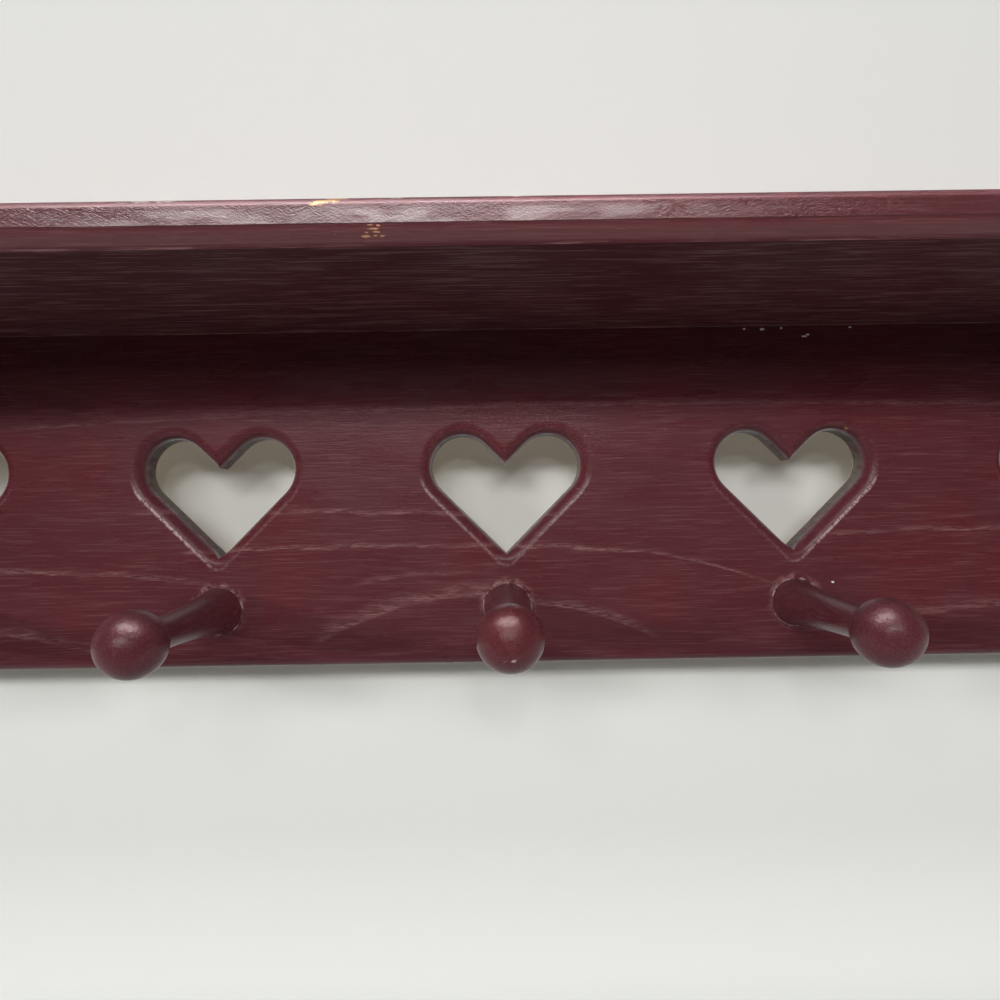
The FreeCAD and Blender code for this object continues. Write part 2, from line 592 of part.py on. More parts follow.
def make_screw(name, kind, x, y, z, turn=Rotation()):
    """A countersunk wood screw, its head at its origin and its point towards -Z."""
    body = new_body(name)
    head, shank = size(f"{kind}_head_diameter") / 2, size(SHANK_SIZE[kind]) / 2
    length, point = size(f"{kind}_length"), size(f"{kind}_point")
    corners = [Vector(0, 0, 0), Vector(head, 0, 0), Vector(shank, shank - head, 0),
               Vector(shank, point - length, 0), Vector(0, -length, 0)]
    profile = new_sketch(body, f"{name}_outline", "XZ_Plane")
    outline(profile, corners)
    tie(profile, ("Coincident", 0, START, *ROOT_POINT), ("Horizontal", 0), ("Vertical", 2),
        ("Vertical", 4))
    shank_radius = f"Sizes.{SHANK_SIZE[kind]} / 2"
    head_radius = f"Sizes.{kind}_head_diameter / 2"
    drive(profile, "head_radius", head_radius, "DistanceX", 0, START, 0, END)
    drive(profile, "shank_radius", shank_radius, "DistanceX", *ROOT_POINT, 2, START)
    drive(profile, "head_height", f"{head_radius} - {shank_radius}", "DistanceY", 1, END, 1, START)
    drive(profile, "point", f"Sizes.{kind}_point", "DistanceY", 3, END, 3, START)
    drive(profile, "length", f"Sizes.{kind}_length", "DistanceY", 4, START, 4, END)
    turned(body, profile)
    place(body, x, y, z, turn)
    return body


def group(name, members):
    """One node that holds several like fasteners."""
    compound = doc.addObject("Part::Compound", name)
    compound.Label = name
    compound.Links = members
    return compound


def shelf_screw_places():
    """Where the shelf is screwed down: over every heart, and into each bracket."""
    along = [(f"{FIRST_PEG_X} + {i} * Sizes.peg_pitch", "-Sizes.board_thickness / 2")
             for i in range(int(size("peg_count")))]
    ends = [(f"{sign}{BRACKET_X}", f"-{BRACKET_SCREW_Y}") for sign in ("-", "")]
    return along + ends


def make_shelf_screws():
    """The screws that hold the shelf, their heads under plugs."""
    return group("shelf_screws", [
        make_screw(f"shelf_screw_{i}", "screw", x, y, f"Sizes.seam_rise + {SCREW_SEAT}")
        for i, (x, y) in enumerate(shelf_screw_places(), start=1)])


def make_shelf_plugs():
    """The round plugs over those screws, flush with the shelf's top."""
    plugs = []
    for i, (x, y) in enumerate(shelf_screw_places(), start=1):
        plug = doc.addObject("Part::Cylinder", f"shelf_plug_{i}")
        plug.setExpression("Radius", "Sizes.plug_diameter / 2")
        plug.setExpression("Height", "Sizes.plug_thickness")
        place(plug, x, y, f"Sizes.seam_rise + {SCREW_SEAT}")
        plugs.append(plug)
    return group("shelf_plugs", plugs)


def make_bracket_screws():
    """The screws through the back of the board into the brackets' rear edges."""
    return group("bracket_screws", [
        make_screw(f"bracket_screw_{i}", "screw", x, "0", f"Sizes.seam_rise - {drop}", Z_TO_WALL)
        for i, (x, drop) in enumerate(bracket_screw_places(), start=1)])


# Keyhole hangers, let into the back of the board

def make_hanger(name, x):
    """A steel plate with a keyhole: a round entry, and a slot that rises from it."""
    body = new_body(name)
    radius = "Sizes.hanger_width / 2"
    plate = new_sketch(body, f"{name}_outline", "XZ_Plane")
    obround(plate, radius, f"Sizes.hanger_top - {radius}",
            f"Sizes.hanger_length - Sizes.hanger_top - {radius}")
    pad(body, f"{name}_blank", plate, "Sizes.hanger_thickness")
    entry = new_sketch(body, f"{name}_entry", "XZ_Plane")
    circle(entry, "Sizes.keyhole_entry_diameter / 2", y="-Sizes.keyhole_drop")
    pocket(body, f"{name}_entry_cut", entry)
    slot = new_sketch(body, f"{name}_slot", "XZ_Plane")
    obround(slot, "Sizes.keyhole_slot_width / 2", "0", "Sizes.keyhole_drop")
    pocket(body, f"{name}_slot_cut", slot)
    holes = new_sketch(body, f"{name}_holes", "XZ_Plane")
    circle(holes, PIN_HOLE_RADIUS, y=PLATE_UPPER_HOLE, tag="upper")
    circle(holes, PIN_HOLE_RADIUS, y=PLATE_LOWER_HOLE, tag="lower")
    through = pocket(body, f"{name}_holes_cut", holes)
    hole = size("pin_screw_diameter") / 2 + size("fit_clearance")
    mouths = edges_where(through, lambda edge: on_plane(edge, "Y", 0) and is_circle(edge, hole))
    ease(body, "Chamfer", f"{name}_countersinks", through, mouths, PIN_HEAD_HEIGHT)
    place(body, x)
    return body


def make_hanger_screws():
    """The small screws that hold the hanger plates."""
    places = [(sign + HANGER_X, z) for sign in ("-", "")
              for z in (PLATE_UPPER_HOLE, PLATE_LOWER_HOLE)]
    return group("hanger_screws", [
        make_screw(f"hanger_screw_{i}", "pin_screw", x, "0", z, Z_TO_WALL)
        for i, (x, z) in enumerate(places, start=1)])


# The whole rail

pieces = [make_back_board(), make_shelf_board(),
          make_bracket("bracket_left", f"-{BRACKET_X}"), make_bracket("bracket_right", BRACKET_X)]
pieces += [make_peg(i) for i in range(1, int(size("peg_count")) + 1)]
pieces += [make_shelf_screws(), make_shelf_plugs(), make_bracket_screws(),
           make_hanger("keyhole_hanger_left", f"-{HANGER_X}"),
           make_hanger("keyhole_hanger_right", HANGER_X), make_hanger_screws()]
doc.recompute()

failed = [item.Label for item in doc.Objects if {"Invalid", "Error"} & set(item.State)]
failed += [piece.Label for piece in pieces if piece.Shape.isNull() or not piece.Shape.isValid()]
if failed:
    raise RuntimeError(f"These came out wrong: {failed}")

os.makedirs("parts", exist_ok=True)
for piece in pieces:
    piece.Shape.exportStep(f"parts/{piece.Label}.step")
    print(piece.Label, len(piece.Shape.Solids), round(piece.Shape.Volume, 1))
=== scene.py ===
import json
import math

import bmesh
import bpy
from bpy.props import FloatProperty, FloatVectorProperty, PointerProperty
from bpy.types import Operator, Panel, PropertyGroup
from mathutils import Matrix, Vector

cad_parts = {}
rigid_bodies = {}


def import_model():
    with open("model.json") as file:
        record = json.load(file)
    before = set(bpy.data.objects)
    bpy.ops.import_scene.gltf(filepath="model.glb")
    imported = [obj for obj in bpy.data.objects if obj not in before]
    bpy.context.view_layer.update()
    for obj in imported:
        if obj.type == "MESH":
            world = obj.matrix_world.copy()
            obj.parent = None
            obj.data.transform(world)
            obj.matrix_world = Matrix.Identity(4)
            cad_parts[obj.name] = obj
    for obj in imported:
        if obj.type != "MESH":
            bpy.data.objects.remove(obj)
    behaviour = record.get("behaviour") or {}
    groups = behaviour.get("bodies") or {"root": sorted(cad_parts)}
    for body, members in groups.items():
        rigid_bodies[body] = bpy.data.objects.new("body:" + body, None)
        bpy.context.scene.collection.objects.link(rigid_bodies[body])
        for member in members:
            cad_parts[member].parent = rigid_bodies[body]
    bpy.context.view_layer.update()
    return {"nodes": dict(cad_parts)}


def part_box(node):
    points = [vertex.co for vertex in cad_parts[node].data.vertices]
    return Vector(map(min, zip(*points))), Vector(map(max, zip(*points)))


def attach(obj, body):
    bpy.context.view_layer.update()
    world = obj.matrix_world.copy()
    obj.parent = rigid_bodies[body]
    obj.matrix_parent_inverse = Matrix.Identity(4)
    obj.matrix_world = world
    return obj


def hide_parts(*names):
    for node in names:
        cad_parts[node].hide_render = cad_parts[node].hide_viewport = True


bl_info = {
    "name": "Peg rail with shelf",
    "version": (1, 0, 0),
    "blender": (4, 5, 0),
    "location": "3D View > Sidebar > Peg Rail",
    "description": "Paints the peg rail, adds glue, seam paint and screws, sets up the studio",
    "category": "Object",
}

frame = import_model()
NODES = frame["nodes"]
PEGS = ["peg_1", "peg_2", "peg_3", "peg_4", "peg_5"]


def middle(node):
    """The middle of a node's box."""
    low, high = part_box(node)
    return (Vector(low) + Vector(high)) / 2


PEG_PITCH = middle("peg_4").x - middle("peg_3").x
PEG_LEVEL = middle("peg_3").z
BOARD_LOW, BOARD_HIGH = (Vector(corner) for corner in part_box("back_board"))
SHELF_LOW, SHELF_HIGH = (Vector(corner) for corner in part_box("shelf_board"))

# Where the plugs sit in the shelf, and where the bevel ends on its front face
PLUG_RADIUS = 0.00476
BOARD_PLUG_Y = -0.00635
BRACKET_PLUG_X, BRACKET_PLUG_Y = 0.288925, -0.05715
BEVEL_START, BEVEL_END = 0.0299, 0.0303

# Colours of small wear; the pale heart edge colour is partly wear and partly painted highlight
DUST_SPECK = (0.85, 0.82, 0.78)
TAN_WEAR = (0.52, 0.27, 0.14)
PALE_WEAR = (0.60, 0.52, 0.45)
PEG_NICK = (0.45, 0.33, 0.32)
WORN_AND_GLINTING_EDGE = (0.46, 0.33, 0.33)
RUST = (0.16, 0.07, 0.03)

# Peak across and up, bends left and right of it, start, end, width and strength of each
# growth ring's line on the board
RING_LINES = (
    (-0.150, -0.0500, 0.0, 0.10, -0.160, 0.030, 0.0007, 0.65),
    (-0.060, -0.0650, 0.4, 0.25, -0.140, 0.060, 0.0007, 0.80),
    (0.035, -0.0676, 0.0, 2.7, 0.020, 0.135, 0.0005, 0.60),
    (0.008, -0.0900, 0.0, 5.0, 0.008, 0.066, 0.0013, 0.70),
    (-0.012, -0.0855, 4.2, 9.0, -0.084, 0.004, 0.0022, 0.65),
    (-0.020, -0.0770, 1.9, 3.0, -0.070, -0.010, 0.0010, 0.35),
    (-0.230, -0.0980, 2.2, 3.0, -0.290, -0.160, 0.0016, 0.55),
    (-0.210, -0.0740, 0.9, 0.8, -0.298, -0.120, 0.0009, 0.60),
    (0.215, -0.0930, 1.8, 3.4, 0.140, 0.280, 0.0016, 0.55),
    (0.190, -0.0610, 0.7, 0.5, 0.130, 0.298, 0.0008, 0.55),
    (0.060, -0.0070, 0.1, 0.1, -0.298, 0.298, 0.0008, 0.40))

# Node, length, shank radius, head radius and point length of the screws on the back
BACK_SCREWS = (("bracket_screws", 0.03175, 0.00175, 0.0034, 0.005),
               ("hanger_screws", 0.0095, 0.0013, 0.0026, 0.0024))

# Reach within which vertices belong to one screw's head
SCREW_REACH = 0.012

# A hair's breadth, for what lies on or just within a face
SKIN = 0.0001


# Sizes and colours

class RailColours(PropertyGroup):
    """Colours of the paint, the wood and the hardware."""

    paint: FloatVectorProperty(
        name="Paint", description="Mulberry paint on all the wood",
        subtype="COLOR", default=(0.091, 0.021, 0.027), min=0, max=1)
    red_paint: FloatVectorProperty(
        name="Redder paint", description="Patches where the first, redder coat shows",
        subtype="COLOR", default=(0.108, 0.018, 0.023), min=0, max=1)
    # Pale colour of worn raised grain, also used for painted highlights and a painted reflection
    rubbed_and_sheen: FloatVectorProperty(
        name="Rubbed grain", description="Raised grain where the paint has worn pale",
        subtype="COLOR", default=(0.36, 0.19, 0.19), min=0, max=1)
    raw_edge: FloatVectorProperty(
        name="Dirty wood", description="Unpainted, dusty wood inside the hearts",
        subtype="COLOR", default=(0.072, 0.057, 0.038), min=0, max=1)
    bare_wood: FloatVectorProperty(
        name="Bare wood", description="Fresh wood in a chip",
        subtype="COLOR", default=(0.70, 0.38, 0.15), min=0, max=1)
    back_wood: FloatVectorProperty(
        name="Back", description="Unpainted back of the board",
        subtype="COLOR", default=(0.44, 0.33, 0.21), min=0, max=1)
    glue: FloatVectorProperty(
        name="Glue", description="Dusty glue squeezed out round the pegs",
        subtype="COLOR", default=(0.34, 0.24, 0.23), min=0, max=1)
    steel: FloatVectorProperty(
        name="Steel", description="Zinc on the hanger plates and screws",
        subtype="COLOR", default=(0.60, 0.59, 0.56), min=0, max=1)


class RailSizes(PropertyGroup):
    """Sizes of the hearts and of the pieces added to the rail."""

    heart_level: FloatProperty(
        name="Heart level", description="Height of the centres of the hearts' lobes",
        unit="LENGTH", default=-0.03175)
    lobe_offset: FloatProperty(
        name="Lobe offset", description="Distance of a lobe's centre from the heart's middle",
        unit="LENGTH", default=0.0181)
    lobe_radius: FloatProperty(
        name="Lobe radius", description="Radius of a heart's lobes",
        unit="LENGTH", default=0.0135)
    glue_radius: FloatProperty(
        name="Glue ring radius", description="Radius of the glue ring round a peg",
        unit="LENGTH", default=0.0100)
    glue_thickness: FloatProperty(
        name="Glue bead", description="Radius of the bead of glue",
        unit="LENGTH", default=0.00045)
    seam_bead: FloatProperty(
        name="Seam bead", description="Radius of the paint that fills the seam under the shelf",
        unit="LENGTH", default=0.0003)
    recess_width: FloatProperty(
        name="Recess width", description="Width of a screw's cross recess over its head",
        default=0.22, min=0.05, max=0.5)


class StudioSettings(PropertyGroup):
    """Camera, lamps and backdrop."""

    camera_place: FloatVectorProperty(
        name="Camera", description="Where the camera stands",
        subtype="TRANSLATION", unit="LENGTH", default=(-0.00329, -0.28865, -0.04714))
    camera_turn: FloatVectorProperty(
        name="Camera turn", description="How the camera is turned",
        subtype="EULER", unit="ROTATION", default=(1.5747968, 0.0155999, -0.0031376))
    lens: FloatProperty(
        name="Lens", description="Focal length on a sensor 36 mm wide", default=23.76)
    wall_gap: FloatProperty(
        name="Wall gap", description="Distance of the backdrop behind the rail",
        unit="LENGTH", default=0.024)
    floor_level: FloatProperty(
        name="Floor", description="Height of the floor", unit="LENGTH", default=-0.36)
    backdrop: FloatVectorProperty(
        name="Backdrop", description="Colour of the backdrop and floor",
        subtype="COLOR", default=(0.80, 0.812, 0.79), min=0, max=1)
    key_power: FloatProperty(
        name="Key light", description="Power of the wide frontal light", unit="POWER", default=212)
    left_power: FloatProperty(
        name="Left light", description="Power of the light far to the left",
        unit="POWER", default=105)
    right_power: FloatProperty(
        name="Right light", description="Power of the light far to the right",
        unit="POWER", default=66)
    near_power: FloatProperty(
        name="Near lamps", description="Power of the two lamps near the camera",
        unit="POWER", default=0.13)
    top_power: FloatProperty(
        name="Top light", description="Power of the light over the shelf", unit="POWER", default=12)
    knob_power: FloatProperty(
        name="Knob light", description="Power of the light that glints on the knobs",
        unit="POWER", default=6.4)
    rear_power: FloatProperty(
        name="Rear light", description="Power of the light on the back", unit="POWER", default=10)
    ambient: FloatProperty(
        name="Room light", description="Level of the room's even light", default=0.02)
    bounce: FloatProperty(
        name="Bounce", description="Share of the backdrop's light that the rail gets back",
        default=0.35, min=0, max=1)


# Shader groups

class Wires:
    """Adds nodes to a node tree and links their sockets."""

    def __init__(self, tree):
        self.tree = tree

    def node(self, kind, inputs=None, **settings):
        made = self.tree.nodes.new(kind)
        for name, value in settings.items():
            setattr(made, name, value)
        for name, value in (inputs or {}).items():
            self.feed(made.inputs[name], value)
        return made

    def feed(self, socket, value):
        if isinstance(value, bpy.types.NodeSocket):
            self.tree.links.new(value, socket)
        else:
            socket.default_value = value

    def math(self, operation, first, *others):
        """Takes the values together, one after another."""
        for other in others or (0.0,):
            made = self.node("ShaderNodeMath", {0: first, 1: other}, operation=operation)
            first = made.outputs[0]
        return first

    def plus(self, *values):
        return self.math("ADD", *values)

    def minus(self, first, second):
        return self.math("SUBTRACT", first, second)

    def times(self, *values):
        return self.math("MULTIPLY", *values)

    def most(self, *values):
        return self.math("MAXIMUM", *values)

    def vector_math(self, operation, first, second=(0, 0, 0)):
        made = self.node("ShaderNodeVectorMath", {0: first, 1: second}, operation=operation)
        return made.outputs["Value" if operation in ("LENGTH", "DISTANCE") else "Vector"]

    def length(self, first, second):
        return self.vector_math("LENGTH", self.combine(first, second, 0.0))

    def fold(self, value, pitch):
        """Distance of a value from the nearest multiple of the pitch."""
        turns = self.math("ROUND", self.math("DIVIDE", value, pitch))
        return self.minus(value, self.times(turns, pitch))

    def split(self, vector):
        return self.node("ShaderNodeSeparateXYZ", {0: vector}).outputs

    def combine(self, x, y, z):
        return self.node("ShaderNodeCombineXYZ", {0: x, 1: y, 2: z}).outputs[0]

    def ease(self, value, start, end, low=0.0, high=1.0):
        """Goes smoothly from low to high as the value goes from start to end."""
        made = self.node("ShaderNodeMapRange", {
            "Value": value, "From Min": start, "From Max": end,
            "To Min": low, "To Max": high}, interpolation_type="SMOOTHSTEP")
        return made.outputs["Result"]

    def fade(self, value, start, end):
        """Falls smoothly from one to nothing as the value goes from start to end."""
        return self.ease(value, start, end, 1.0, 0.0)

    def stretch(self, vector, scales):
        return self.vector_math("MULTIPLY", vector, scales)

    def noise(self, at, scale, detail=2.0, roughness=0.5, distortion=0.0):
        """Noise of one scale, or of one for each axis."""
        if isinstance(scale, tuple):
            at, scale = self.stretch(at, scale), 1.0
        made = self.node("ShaderNodeTexNoise", {
            "Vector": at, "Scale": scale, "Detail": detail, "Roughness": roughness,
            "Distortion": distortion})
        return made.outputs["Fac"]

    def blend(self, amount, first, second):
        made = self.node("ShaderNodeMix", data_type="RGBA")
        for index, value in ((0, amount), (6, first), (7, second)):
            self.feed(made.inputs[index], value)
        return made.outputs[2]


def rgba(colour, share=1.0):
    """A colour with its alpha, made darker by the share."""
    return (*(part * share for part in colour), 1.0)


def new_group(name, inputs, outputs):
    """An empty shader group; gives its wires, its inputs and its output node."""
    tree = bpy.data.node_groups.new(name, "ShaderNodeTree")
    for label, default in inputs:
        kind = "NodeSocketVector" if isinstance(default, tuple) else "NodeSocketFloat"
        socket = tree.interface.new_socket(label, in_out="INPUT", socket_type=kind)
        socket.default_value = default
    for label in outputs:
        tree.interface.new_socket(label, in_out="OUTPUT", socket_type="NodeSocketFloat")
    wires = Wires(tree)
    return wires, wires.node("NodeGroupInput").outputs, wires.node("NodeGroupOutput").inputs


def streaks_group():
    """Fine streaks along the grain; the vector's first axis runs along the grain."""
    wires, given, result = new_group(
        "grain_streaks",
        [("Vector", (0, 0, 0)), ("Length", 0.02), ("Width", 0.0004), ("Amount", 0.5),
         ("Softness", 0.12)],
        ["Streaks"])
    at = wires.vector_math("DIVIDE", given["Vector"], wires.combine(
        given["Length"], given["Width"], given["Width"]))
    grain = wires.noise(at, 1.0, 3.0, 0.6, 0.15)
    edge = wires.minus(0.68, wires.times(given["Amount"], 0.36))
    low = wires.minus(edge, given["Softness"])
    high = wires.plus(edge, given["Softness"])
    wires.feed(result["Streaks"], wires.ease(grain, low, high))
    return wires.tree


def heart_group():
    """Distance of a place on the board from the edge of the nearest sawn heart."""
    wires, given, result = new_group(
        "heart_distance",
        [("Vector", (0, 0, 0)), ("Pitch", PEG_PITCH), ("Level", -0.03), ("Lobe Offset", 0.018),
         ("Lobe Radius", 0.0135)],
        ["Distance", "Across", "Up"])
    x, _, z = wires.split(given["Vector"])
    across = wires.fold(x, given["Pitch"])
    up = wires.minus(z, given["Level"])
    side = wires.math("ABSOLUTE", across)
    half = math.sqrt(0.5)
    along = wires.times(wires.plus(side, up), half)
    away = wires.times(wires.minus(side, up), half)
    lobe = wires.times(given["Lobe Offset"], half)
    past = wires.most(wires.minus(along, lobe), 0.0)
    reach = wires.length(past, wires.minus(away, lobe))
    tip = wires.plus(lobe, given["Lobe Radius"])
    below = wires.length(wires.math("MINIMUM", wires.plus(along, tip), 0.0),
                         wires.most(wires.minus(away, tip), 0.0))
    wires.feed(result["Distance"], wires.most(wires.minus(reach, given["Lobe Radius"]), below))
    wires.feed(result["Across"], across)
    wires.feed(result["Up"], up)
    return wires.tree


def mark_group():
    """One ragged mark on the surface, such as a chip, a scuff or a stain."""
    wires, given, result = new_group(
        "ragged_mark",
        [("Vector", (0, 0, 0)), ("Centre", (0, 0, 0)), ("Size", (0.01, 0.01, 0.01)),
         ("Ragged", 0.8), ("Softness", 0.25)],
        ["Mask"])
    offset = wires.vector_math("SUBTRACT", given["Vector"], given["Centre"])
    reach = wires.vector_math("LENGTH", wires.vector_math("DIVIDE", offset, given["Size"]))
    rough = wires.noise(given["Vector"], (400.0, 1500.0, 1500.0), 3.0, 0.6)
    total = wires.plus(reach, wires.times(wires.minus(rough, 0.5), given["Ragged"], 3.0))
    start = wires.minus(1.0, given["Softness"])
    wires.feed(result["Mask"], wires.fade(total, start, 1.0))
    return wires.tree


def grain_line_group():
    """One pale line of a growth ring, arched over a peak, as it crosses a flat sawn board."""
    wires, given, result = new_group(
        "growth_ring_line",
        [("Vector", (0, 0, 0)), ("Peak X", 0.0), ("Peak Z", 0.0), ("Left Bend", 0.0),
         ("Right Bend", 0.0), ("Start X", -0.1), ("End X", 0.1), ("Width", 0.001),
         ("Strength", 1.0), ("Streaks", 0.5)],
        ["Mask"])
    x, _, z = wires.split(given["Vector"])
    run = wires.minus(x, given["Peak X"])
    right = wires.math("GREATER_THAN", run, 0.0)
    bend = wires.plus(wires.times(right, given["Right Bend"]),
                      wires.times(wires.minus(1.0, right), given["Left Bend"]))
    drop = wires.times(run, run, bend)
    wave = wires.noise(given["Vector"], (60, 60, 60))
    wobble = wires.times(wires.minus(wave, 0.5), 0.003)
    over = wires.plus(wires.minus(z, given["Peak Z"]), drop, wobble)
    scaled = wires.math("DIVIDE", over, given["Width"])
    sharp = wires.ease(scaled, -0.6, 0.1)
    faded = wires.fade(scaled, 0.2, 3.4)
    inside = wires.times(wires.ease(x, given["Start X"], wires.plus(given["Start X"], 0.012)),
                         wires.fade(x, wires.minus(given["End X"], 0.015), given["End X"]))
    crest = wires.ease(scaled, 0.0, 0.5, 0.07, 0.0)
    gaps = wires.noise(given["Vector"], (70, 70, 420))
    body = wires.times(wires.most(crest, given["Streaks"]), wires.ease(gaps, 0.36, 0.58, 0.3, 1.0))
    wires.feed(result["Mask"], wires.times(
        wires.times(sharp, faded), wires.times(inside, body), given["Strength"]))
    return wires.tree


def brushed_group():
    """Height of brush strokes and raised grain under paint."""
    wires, given, result = new_group(
        "brushed_paint",
        [("Vector", (0, 0, 0)), ("Fibres", 0.5), ("Strokes", 0.5), ("Pits", 0.3)],
        ["Height", "Sheen"])
    x, y, z = wires.split(given["Vector"])
    fibres = wires.noise(given["Vector"], (60.0, 1500.0, 1500.0), 3.0, 0.6)
    slant = wires.plus(z, wires.times(x, 0.45))
    strokes = wires.noise(wires.combine(
        wires.times(x, 220.0), wires.times(y, 900.0), wires.times(slant, 1100.0)), 1.0, 4.0, 0.65)
    pits = wires.noise(given["Vector"], 850.0, 2.0, 0.5)
    wires.feed(result["Height"], wires.plus(
        wires.times(fibres, given["Fibres"]), wires.times(strokes, given["Strokes"]),
        wires.times(pits, given["Pits"])))
    wires.feed(result["Sheen"], wires.noise(given["Vector"], (25.0, 90.0, 90.0), 3.0))
    return wires.tree


GROUPS = {}


def group(name):
    """The shader group of that name, built the first time."""
    if name not in GROUPS:
        makers = {"streaks": streaks_group, "heart": heart_group, "mark": mark_group,
                  "ring_line": grain_line_group, "brushed": brushed_group}
        GROUPS[name] = makers[name]()
    return GROUPS[name]


def use(wires, name, **values):
    """Places a shader group in a material; a key's underscores stand for spaces.

    Gives the group's one output, or all of them where it has more.
    """
    made = wires.node("ShaderNodeGroup", node_tree=group(name))
    for key, value in values.items():
        wires.feed(made.inputs[key.replace("_", " ")], value)
    return made.outputs if len(made.outputs) > 1 else made.outputs[0]


class Surface:
    """A material under construction, with its shader and the object's coordinates."""

    def __init__(self, name, grain="XYZ"):
        self.material = bpy.data.materials.new(name)
        self.material.use_nodes = True
        self.wires = Wires(self.material.node_tree)
        self.shader = self.material.node_tree.nodes["Principled BSDF"]
        self.place = self.wires.node("ShaderNodeTexCoord").outputs["Object"]
        self.axes = dict(zip("XYZ", self.wires.split(self.place)))
        self.grain = self.wires.combine(*[self.axes[axis] for axis in grain])

    def set(self, **values):
        for key, value in values.items():
            self.wires.feed(self.shader.inputs[key.replace("_", " ")], value)

    def bump(self, height, distance, strength=1.0):
        made = self.wires.node("ShaderNodeBump", {
            "Height": height, "Distance": distance, "Strength": strength})
        self.set(Normal=made.outputs["Normal"])


def painted(name, grain="XYZ", fibres=0.5, strokes=0.4, pits=0.2, streaks=0.27, gloss=0.29):
    """The mulberry paint, brushed along the grain; returns its surface and its colour."""
    colours = bpy.context.scene.rail_colours
    surface = Surface(name, grain)
    wires = surface.wires
    patches = wires.ease(wires.noise(surface.grain, 22.0, 2.0, 0.5, 0.4), 0.42, 0.66)
    colour = wires.blend(wires.times(patches, 0.6), rgba(colours.paint), rgba(colours.red_paint))
    lines = use(wires, "streaks", Vector=surface.grain, Amount=streaks, Softness=0.06)
    colour = rub_and_sheen(wires, colour, lines, 0.14)
    brushed = use(wires, "brushed", Vector=surface.grain, Fibres=fibres, Strokes=strokes, Pits=pits)
    surface.height = brushed["Height"]
    surface.rough = wires.ease(brushed["Sheen"], 0.3, 0.7, gloss - 0.05, gloss + 0.08)
    return surface, colour


def finish_paint(surface, colour, distance=0.00012):
    surface.set(Base_Color=colour, Roughness=surface.rough, Specular_IOR_Level=0.24)
    surface.bump(surface.height, distance)
    return surface.material


def rub_and_sheen(wires, colour, mask, share=1.0):
    """Turns the paint pale where the mask is: worn grain mostly, painted highlight and painted
    reflection in places.
    """
    pale = rgba(bpy.context.scene.rail_colours.rubbed_and_sheen)
    return wires.blend(wires.times(mask, share), colour, pale)


def marked(surface, colour, paint, marks):
    """Adds marks of one colour: each is a centre, a size and a raggedness."""
    wires = surface.wires
    for centre, size, ragged in marks:
        mask = use(wires, "mark", Vector=surface.place, Centre=centre, Size=size, Ragged=ragged)
        colour = wires.blend(mask, colour, rgba(paint))
    return colour


def specks(depth, thick, rows):
    """Marks on a front face: each row is across, up, half length, half height, raggedness."""
    return [((x, depth, z), (long, thick, high), ragged) for x, z, long, high, ragged in rows]


def dress(material, *nodes):
    """Gives nodes of the frame one material."""
    for node in nodes:
        mesh = NODES[node].data
        mesh.materials.clear()
        mesh.materials.append(material)


# Painted boards

